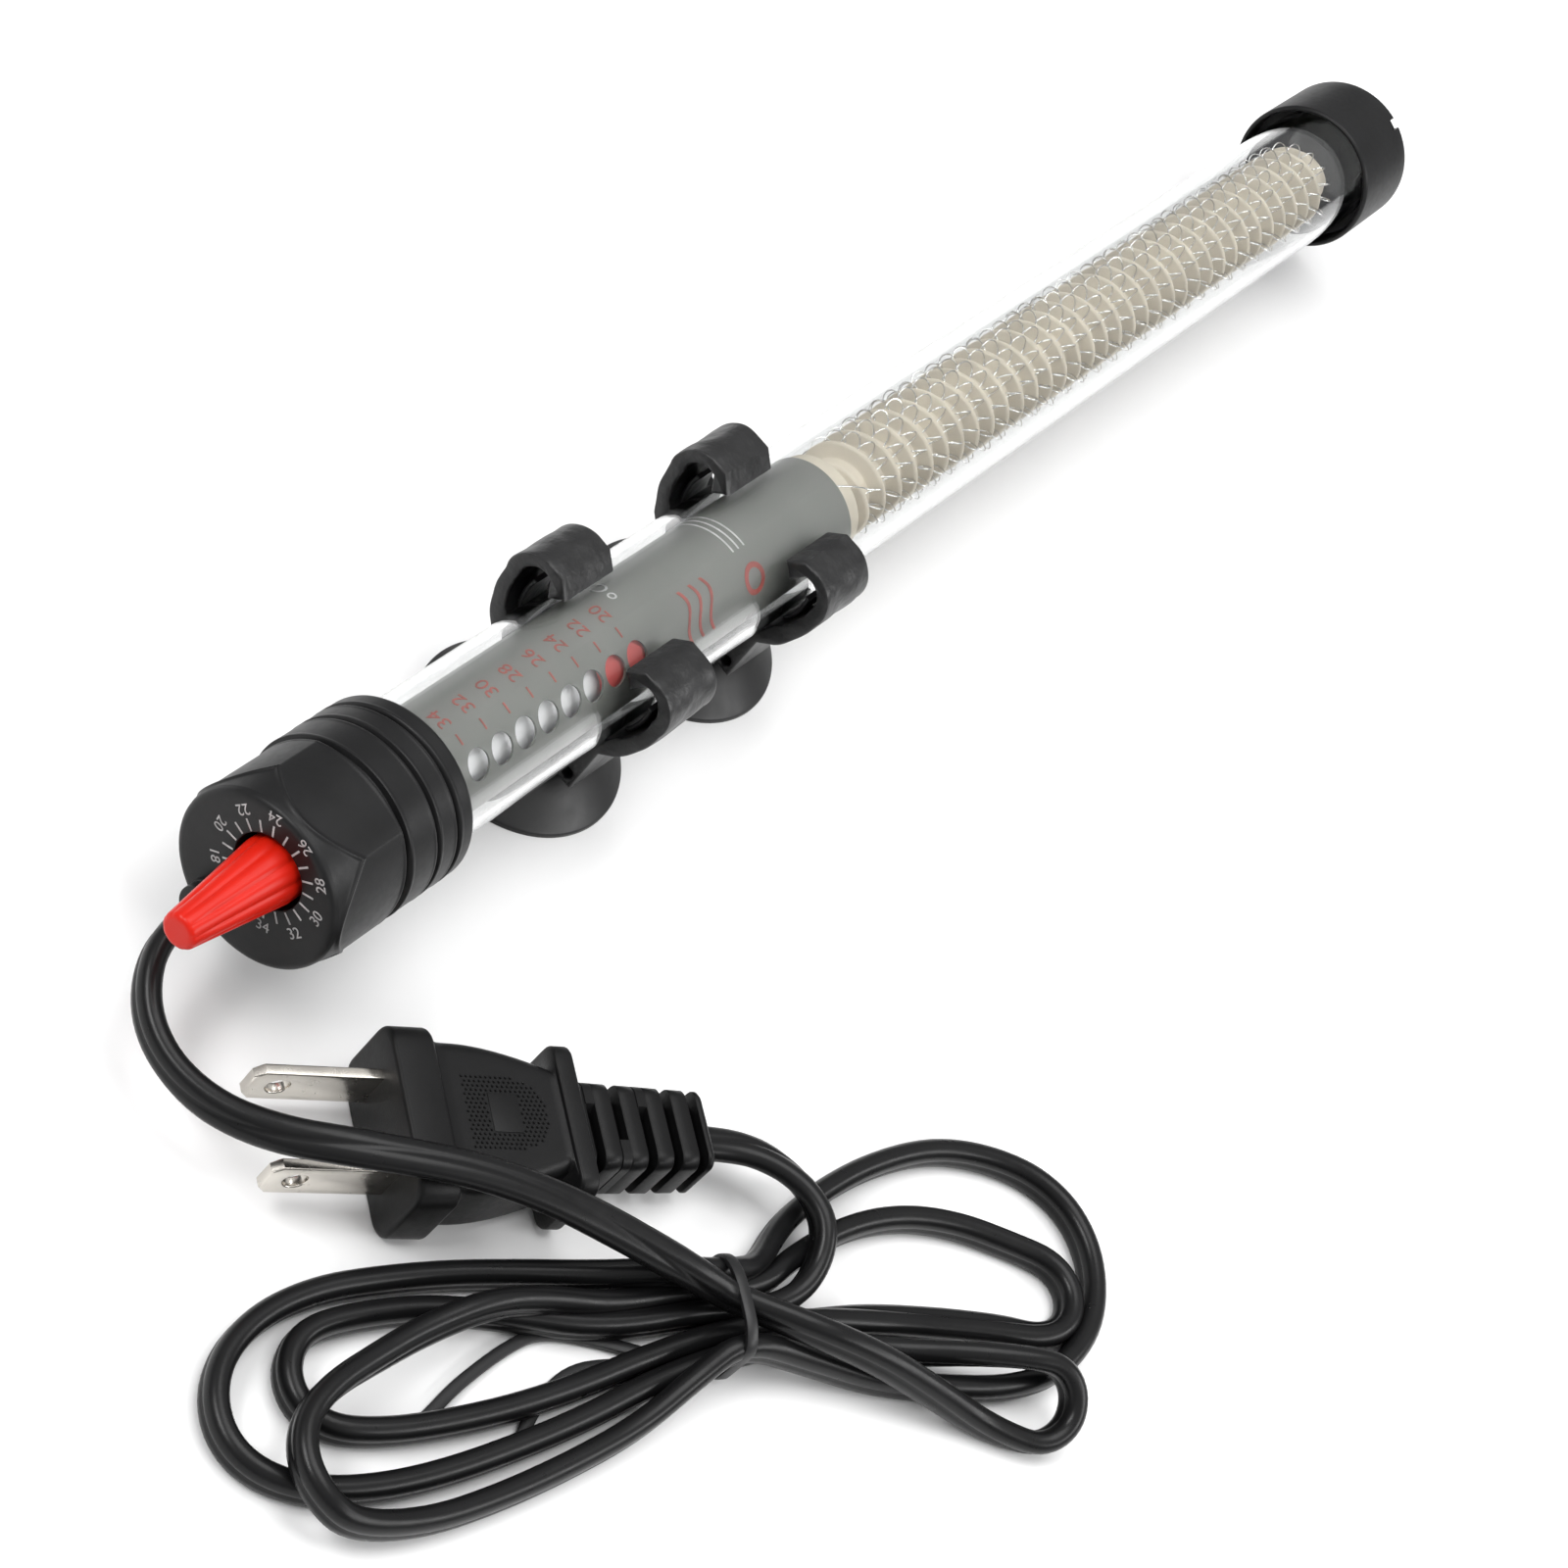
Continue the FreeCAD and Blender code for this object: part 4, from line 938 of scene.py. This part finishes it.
WINDOWS = 8
WINDOW_FIRST = -107.4
WINDOW_STEP = 4.92
PRINT_R = SLEEVE_R + 0.05
LABEL_MIDDLE = 74.0           # degrees from +Y
DASH_FROM, DASH_TO = 104.0, 93.0
SCALE_SHIFT = -1.2            # of the scale from its window, towards the head
LINE_FROM, LINE_TO = 96.0, 10.0
LINE_X, LINE_STEP = -46.7, 1.3
RING_X, RING_ANGLE = -45.0, 128.0
WAVE_X, WAVE_GAP, WAVE_ANGLE = -60.6, 2.6, 124.0
WRAP_STEP = 0.4


def wrapped(mesh, x, angle):
    """Flat mesh laid round the sleeve, its reading direction round the tube, its top towards the head."""
    with edited(mesh) as work:
        steps = int(max(abs(v.co.x) for v in work.verts) / MM / WRAP_STEP)
        cut_across(work, [k * WRAP_STEP for k in range(-steps, steps + 1)])
        for v in work.verts:
            a = radians(angle) - v.co.x / (PRINT_R * MM)
            r = PRINT_R * MM + v.co.z
            v.co = (x * MM - v.co.y, r * cos(a), AXIS_Z * MM + r * sin(a))
    return mesh


def bar_mesh(length, width):
    u, v = length / 2, width / 2
    return ink([[(-u, -v), (u, -v), (u, v), (-u, v)]])


def band(start, end, width, x):
    """Printed line round the sleeve from one angle to another."""
    return wrapped(bar_mesh(radians(start - end) * PRINT_R, width), x, (start + end) / 2)


def ring_mesh(radius, width):
    return ink([disc(radius + width / 2, 40), disc(radius - width / 2, 40)])


def wave_mesh(length, height, width):
    """Generic heat sign: one wavy stroke."""
    steps = [k / 16 for k in range(17)]
    middle = [(length * (t - 0.5), height * sin(2 * pi * t)) for t in steps]
    return ink([[(u, v + width / 2) for u, v in middle] + [(u, v - width / 2) for u, v in reversed(middle)]])


def sleeve_prints():
    red = []
    for k in range(WINDOWS):
        x = WINDOW_FIRST + k * WINDOW_STEP + SCALE_SHIFT
        red.append(band(DASH_FROM, DASH_TO, 0.3, x))
        red.append(wrapped(text_mesh(str(DIAL_LAST_C - 2 * k), 3.1), x, LABEL_MIDDLE))
    red.append(wrapped(ring_mesh(1.9, 0.8), RING_X, RING_ANGLE))
    red += [wrapped(wave_mesh(7.5, 0.8, 0.6), WAVE_X + WAVE_GAP * k, WAVE_ANGLE) for k in range(3)]
    piece("scale_print", join(*red), "heater", "grey_sleeve", INK_RED)

    white = [wrapped(ring_mesh(0.55, 0.28), -69.9, 66.0), wrapped(text_mesh("C", 3.4), -69.3, 50.0)]
    for k in range(3):
        x = LINE_X + LINE_STEP * k
        white += [band(LINE_FROM, LINE_TO, 0.32, x), wrapped(bar_mesh(2.0, 0.22), x, 172.0)]
    piece("line_print", join(*white), "heater", "white_plastic", INK_WHITE)


sleeve_prints()

# ---- plug

PLUG_X, PLUG_Y, PLUG_Z = -140.8, -32.1, 7.0
PLUG_BEARING = radians(-35.0)
PLUG_PLACE = Matrix.Translation(Vector((PLUG_X, PLUG_Y, PLUG_Z)) * MM) @ Matrix.Rotation(PLUG_BEARING, 4, "Z")
FLANGE_LEN, FLANGE_HALF_W, FLANGE_HALF_H = 6.0, 12.3, 7.0
BARREL_END = 23.0
BARREL_HALF_H, BARREL_DROP = 6.2, 0.25
REAR_END = 25.8
RELIEF_END = 45.2
RELIEF_SLOTS = 5
RELIEF_STEP = (RELIEF_END - REAR_END) / RELIEF_SLOTS
SLOT_FROM = 0.35              # of a step
SLOT_W = 1.3
SLOT_DEPTH = 1.9
SLOT_LIP = 0.05
PANEL_X, PANEL_END, PANEL_HALF_W = 9.0, 20.4, 5.0
PANEL_BOW_X, PANEL_BOW = 15.0, 5.6
LABEL_X, LABEL_END, LABEL_HALF_W, LABEL_GAP = 12.2, 16.4, 2.7, 0.2
DOT_PITCH, DOT_R, DOT_TOP_R, DOT_H = 0.7, 0.27, 0.1, 0.3
BLADE_PITCH = 12.7
BLADE_L, BLADE_ROOT, BLADE_W, BLADE_T, BLADE_TIP = 17.0, 3.0, 6.35, 1.5, 1.2
BLADE_HOLE_R, BLADE_HOLE_AT = 1.6, 4.0


def rounded_box(x, half_w, half_h, radius, steps=8, side=14):
    """Ring in a plane across the plug's axis."""
    radius = min(radius, half_w, half_h)
    arcs = []
    for quarter, (sy, sz) in enumerate(((1, 1), (-1, 1), (-1, -1), (1, -1))):
        y, z = sy * (half_w - radius), sz * (half_h - radius)
        turns = [pi / 2 * (quarter + k / steps) for k in range(steps + 1)]
        arcs.append([(x, y + radius * cos(a), z + radius * sin(a)) for a in turns])
    points = []
    for arc, after in zip(arcs, arcs[1:] + arcs[:1]):
        points += arc
        (_, y, z), (_, to_y, to_z) = arc[-1], after[0]
        points += [(x, y + (to_y - y) * k / side, z + (to_z - z) * k / side) for k in range(1, side)]
    return points


def filleted(x0, x1, half_w, half_h, corner, fillet):
    """Stations of a block across the axis with both its rims rounded."""
    rims = []
    for k in range(5):
        t = pi / 2 * k / 4
        inset = fillet * (1 - sin(t))
        rims.append((fillet * (1 - cos(t)), half_w - inset, half_h - inset))
    return ([(x0 + u, w, h, corner) for u, w, h in rims]
            + [(x1 - u, w, h, corner) for u, w, h in reversed(rims)])


def barrel_half(x):
    """Half width of the barrel: nearly straight, then drawn in to a waist, then out to the rear flange."""
    t = (x - FLANGE_LEN) / (BARREL_END - FLANGE_LEN)
    return 10.35 - 0.25 * t - 3.0 * max(0.0, t - 0.2) ** 1.7 / 0.8 ** 1.7


def plug_stations():
    stations = [(0.0, 3.0, 3.0, 2.0)] + filleted(0.0, FLANGE_LEN, FLANGE_HALF_W, FLANGE_HALF_H, 3.2, 0.7)
    stations.append((FLANGE_LEN, 10.9, 6.5, 2.4))
    for k in range(21):
        x = FLANGE_LEN + 0.05 + (BARREL_END - FLANGE_LEN - 0.6) * k / 20
        flare = 0.35 * exp(-(x - FLANGE_LEN) / 0.35)
        stations.append((x, barrel_half(x) + flare, BARREL_HALF_H - BARREL_DROP * k / 20 + flare * 0.6, 2.2))
    stations.append((BARREL_END - 0.2, 7.9, 6.1, 2.2))
    stations += filleted(BARREL_END, REAR_END, 10.5, 6.5, 2.2, 0.5)
    stations.append((REAR_END, 6.5, 5.0, 1.8))
    stations.append((REAR_END + 0.3, 6.25, 4.8, 1.6))
    return stations


def relief_rings():
    """Tapered tail with slots that take turns from side to side, the last two going all the way round."""
    slots = [REAR_END + (k + SLOT_FROM) * RELIEF_STEP for k in range(RELIEF_SLOTS)]
    marks = [REAR_END + 0.35]
    for a in slots:
        b = a + SLOT_W
        marks += [a - 0.25, a - SLOT_LIP, a, b, b + SLOT_LIP, b + 0.25]
    marks += [RELIEF_END - 0.6, RELIEF_END - 0.2, RELIEF_END]
    rings = []
    for x in marks:
        t = (x - REAR_END) / (RELIEF_END - REAR_END)
        half_w, half_h = 6.2 - 0.6 * t, 4.8 - 0.15 * t
        edge = 0.0
        if any(min(abs(x - a + SLOT_LIP), abs(x - a - SLOT_W - SLOT_LIP)) < 0.02 for a in slots):
            edge = 0.12
        if x > RELIEF_END - 0.3:
            edge = 0.25 if x < RELIEF_END else 0.6
        ring = rounded_box(x, half_w - edge, half_h - edge, 1.7)
        for k, a in enumerate(slots):
            if a - 0.01 <= x <= a + SLOT_W + 0.01:
                core = rounded_box(x, half_w - SLOT_DEPTH, half_h - SLOT_DEPTH, 1.0)
                all_round = k >= RELIEF_SLOTS - 2
                side = 1 if k % 2 else -1
                ring = [c if all_round or side * p[1] > -half_w / 3 else p for p, c in zip(ring, core)]
        rings.append(ring)
    return rings


def plug_body():
    rings = [[(0.0, 0.0, 0.0)]] + [rounded_box(*s) for s in plug_stations()] + relief_rings()
    return loft(rings + [[(RELIEF_END, 0.0, 0.0)]])


def in_panel(x, y):
    """Whether a point of the barrel's top is in the D but outside the plain rectangle."""
    bow = max(0.0, (x - PANEL_BOW_X) / PANEL_BOW)
    half = PANEL_HALF_W * sqrt(max(0.0, 1 - bow ** 2))
    beside = LABEL_X - LABEL_GAP < x < LABEL_END + LABEL_GAP
    return abs(y) <= half and x <= PANEL_END and not (beside and abs(y) < LABEL_HALF_W + LABEL_GAP)


def plug_panel():
    """Stippled D-shaped panel with a plain rectangle in it, on the top of the barrel."""
    work = bmesh.new()
    for row in range(-8, 9):
        for column in range(17):
            x = PANEL_X + column * DOT_PITCH + (0.5 * DOT_PITCH if row % 2 else 0)
            y = row * DOT_PITCH * 0.87
            if in_panel(x, y):
                top = BARREL_HALF_H - BARREL_DROP * (x - FLANGE_LEN) / (BARREL_END - FLANGE_LEN)
                bmesh.ops.create_cone(work, cap_ends=True, segments=6, radius1=DOT_R * MM,
                                      radius2=DOT_TOP_R * MM, depth=DOT_H * MM,
                                      matrix=Matrix.Translation(Vector((x, y, top + 0.06)) * MM))
    mesh = bpy.data.meshes.new("dots")
    work.to_mesh(mesh)
    work.free()
    label = [(LABEL_X, -LABEL_HALF_W), (LABEL_END, -LABEL_HALF_W), (LABEL_END, LABEL_HALF_W),
             (LABEL_X, LABEL_HALF_W)]
    return join(mesh, slab([label], 0.3, 0.1, Matrix.Translation(Vector((0, 0, 6.06)) * MM)))


def blade(side):
    lift = BLADE_W / 2
    outline = [(BLADE_ROOT, -lift), (BLADE_ROOT, lift), (-BLADE_L + BLADE_TIP, lift),
               (-BLADE_L, lift - BLADE_TIP), (-BLADE_L, BLADE_TIP - lift), (-BLADE_L + BLADE_TIP, -lift)]
    hole = disc(BLADE_HOLE_R, 32, -BLADE_L + BLADE_HOLE_AT)
    upright = Matrix.Rotation(pi / 2, 4, "X")
    across = Matrix.Translation(Vector((0, side * BLADE_PITCH / 2, 0)) * MM)
    return slab([outline, hole], BLADE_T, 0.22, PLUG_PLACE @ across @ upright)


body_mesh = plug_body()
panel_mesh = plug_panel()
for mesh in (body_mesh, panel_mesh):
    mesh.transform(PLUG_PLACE)
plug = piece("plug_shell", body_mesh, "heater", "plug_plastic", PLUG, "plug_body", sharp=40)
panel = piece("plug_panel", panel_mesh, "heater", "plug_plastic", PLUG)
left_blade = piece("left_blade", blade(-1), "heater", "nickel", NICKEL, "plug_blade_left")
right_blade = piece("right_blade", blade(1), "heater", "nickel", NICKEL, "plug_blade_right")

# ---- tie

TIE_WIDTH = 1.7
TIE_THICK = 0.85
TIE_HALF = 6.75
TIE_BOTTOM = 0.45
TIE_TOP = 11.3
TIE_OUTLINE = [  # across the hank, height, fillet
    (0, TIE_BOTTOM, 0), (TIE_HALF, TIE_BOTTOM, 2.2), (TIE_HALF, 9.8, 2.0), (3.4, TIE_TOP, 1.5),
    (-0.8, TIE_TOP, 1.5), (-4.2, 11.0, 1.5), (-TIE_HALF, 9.4, 1.5), (-TIE_HALF, TIE_BOTTOM, 2.2),
    (0, TIE_BOTTOM, 0),
]
TIE_TWIST = [(-122.4, -80.9, 6.2), (-123.3, -80.9, 5.0), (-123.4, -80.3, 3.8), (-122.7, -80.1, 2.8)]
TIE_TAILS = [
    [(-122.6, -80.2, 3.4), (-126.5, -76.0, 1.6), (-132.0, -69.0, 0.9), (-137.5, -64.0, 0.85),
     (-142.6, -62.2, 0.8), (-151.9, -61.5, 0.8), (-159.6, -61.9, 0.8)],
    [(-122.9, -80.7, 2.6), (-127.0, -77.6, 1.3), (-132.5, -72.6, 0.9), (-138.4, -69.6, 0.8),
     (-144.8, -69.6, 0.8), (-151.4, -71.5, 0.8)],
]


def through(points, steps=6):
    """Smooth path through points."""
    spots = [Vector(p) for p in points]
    spots = [spots[0] * 2 - spots[1]] + spots + [spots[-1] * 2 - spots[-2]]
    path = []
    for a, b, c, d in zip(spots, spots[1:], spots[2:], spots[3:]):
        for k in range(steps):
            t = k / steps
            path.append(tuple((b * 2 + (c - a) * t + (a * 2 - b * 5 + c * 4 - d) * t ** 2
                               + (b * 3 - a - c * 3 + d) * t ** 3) / 2))
    return path + [tuple(spots[-2])]


def flat_ring(centre, wide, out, width, thick):
    """Section of a flat strip: a rectangle with soft corners."""
    ring = []
    for k in range(12):
        a = 2 * pi * k / 12
        u = copysign(abs(cos(a)) ** 0.5, cos(a)) * width / 2
        v = copysign(abs(sin(a)) ** 0.5, sin(a)) * thick / 2
        ring.append(tuple(centre + wide * u + out * v))
    return ring


def strip(points, width, thick, facing):
    """Flat strip swept along points, its flat side turned towards a given direction."""
    rings = []
    count = len(points)
    for i, point in enumerate(points):
        ahead = Vector(points[min(i + 1, count - 1)]) - Vector(points[max(i - 1, 0)])
        wide = ahead.cross(Vector(facing)).normalized()
        rings.append(flat_ring(Vector(point), wide, wide.cross(ahead).normalized(), width, thick))
    return [[tuple(points[0])]] + rings + [[tuple(points[-1])]]


def tie():
    """Strip round the waist of the hank, its two ends twisted and bent away under the loops."""
    along = Vector((cos(TIE_BEARING), sin(TIE_BEARING), 0))
    across = Vector((-sin(TIE_BEARING), cos(TIE_BEARING), 0))
    spots = [Vector((TIE_X, TIE_Y, z)) + across * a for a, z in rounded(TIE_OUTLINE, steps=6)[:-1]]
    rings = []
    for i, spot in enumerate(spots):
        ahead = spots[(i + 1) % len(spots)] - spots[i - 1]
        rings.append(flat_ring(spot, along, ahead.cross(along).normalized(), TIE_WIDTH, TIE_THICK))
    parts = [loft(rings, joined=True)]
    parts += [loft(strip(through(path), TIE_WIDTH, TIE_THICK, (0, 0, 1))) for path in TIE_TAILS]
    parts.append(loft(strip(through(TIE_TWIST), TIE_WIDTH, TIE_WIDTH * 0.8, (0, 1, 0))))
    return join(*parts)


tie_ring = piece("tie_strip", tie(), "heater", "tie_plastic", TIE, "hank_tie")

# ---- looks of the CAD nodes that stay

KEPT_LOOKS = (
    (STEEL, ("spindle", "thermostat_frame", "spindle_bracket", "bimetal_strip", "snap_magnet")),
    (RUBBER, ("spindle_seal", "tube_stopper", "end_cushion")),
    (BRASS, ("bimetal_block", "moving_contact", "fixed_contact", "contact_arm", "contact_block")),
    (SLEEVE, ("label_sleeve",)),
    (WHITE, ("window_backing",)),
    (RED_STRIP, ("temperature_indicator",)),
    (LAMP, ("indicator_lamp",)),
    (CERAMIC, ("lamp_resistor", "insulator_disc")),
    (SLEEVING, ("lead_wire_live", "lead_wire_neutral")),
)
for look, names in KEPT_LOOKS:
    for name in names:
        materials = nodes[name].data.materials
        if len(materials) == 0:
            materials.append(look)
        for k in range(len(materials)):
            materials[k] = look

# ---- floor, light


def floor():
    side = 4
    mesh = bpy.data.meshes.new("floor")
    mesh.from_pydata([(-side, -side, 0), (side, -side, 0), (side, side, 0), (-side, side, 0)], [],
                     [(0, 1, 2, 3)])
    mesh.materials.append(FLOOR)
    new_object("floor", mesh)


def softbox(name, place, target, width, height, watts):
    light = bpy.data.lights.new(name, "AREA")
    light.shape = "RECTANGLE"
    light.size = width
    light.size_y = height
    light.energy = watts
    made = new_object(name, light)
    made.location = place
    made.rotation_euler = (Vector(target) - Vector(place)).to_track_quat("-Z", "Y").to_euler()


def studio():
    world = bpy.data.worlds.new("studio")
    world.use_nodes = True
    bpy.context.scene.world = world
    tree = world.node_tree
    place = tree.nodes.new("ShaderNodeTexCoord")
    split = tree.nodes.new("ShaderNodeSeparateXYZ")
    ramp = tree.nodes.new("ShaderNodeValToRGB")
    ramp.color_ramp.elements[0].position = 0.0
    ramp.color_ramp.elements[0].color = (0.26, 0.26, 0.27, 1)
    ramp.color_ramp.elements[1].position = 0.8
    ramp.color_ramp.elements[1].color = (1.0, 1.0, 1.0, 1)
    background = tree.nodes["Background"]
    tree.links.new(place.outputs["Generated"], split.inputs[0])
    tree.links.new(split.outputs["Z"], ramp.inputs["Fac"])
    tree.links.new(ramp.outputs["Color"], background.inputs["Color"])
    background.inputs["Strength"].default_value = 0.8
    softbox("key", (-0.9, 0.75, 1.15), (-0.05, -0.02, 0), 0.8, 0.4, 15)
    softbox("fill", (0.35, -1.2, 0.8), (-0.05, -0.03, 0), 1.3, 0.3, 11)
    softbox("top", (0.1, 0.0, 1.4), (0.0, -0.03, 0), 0.9, 0.9, 12)


floor()
studio()
bpy.context.scene.view_settings.view_transform = "Standard"
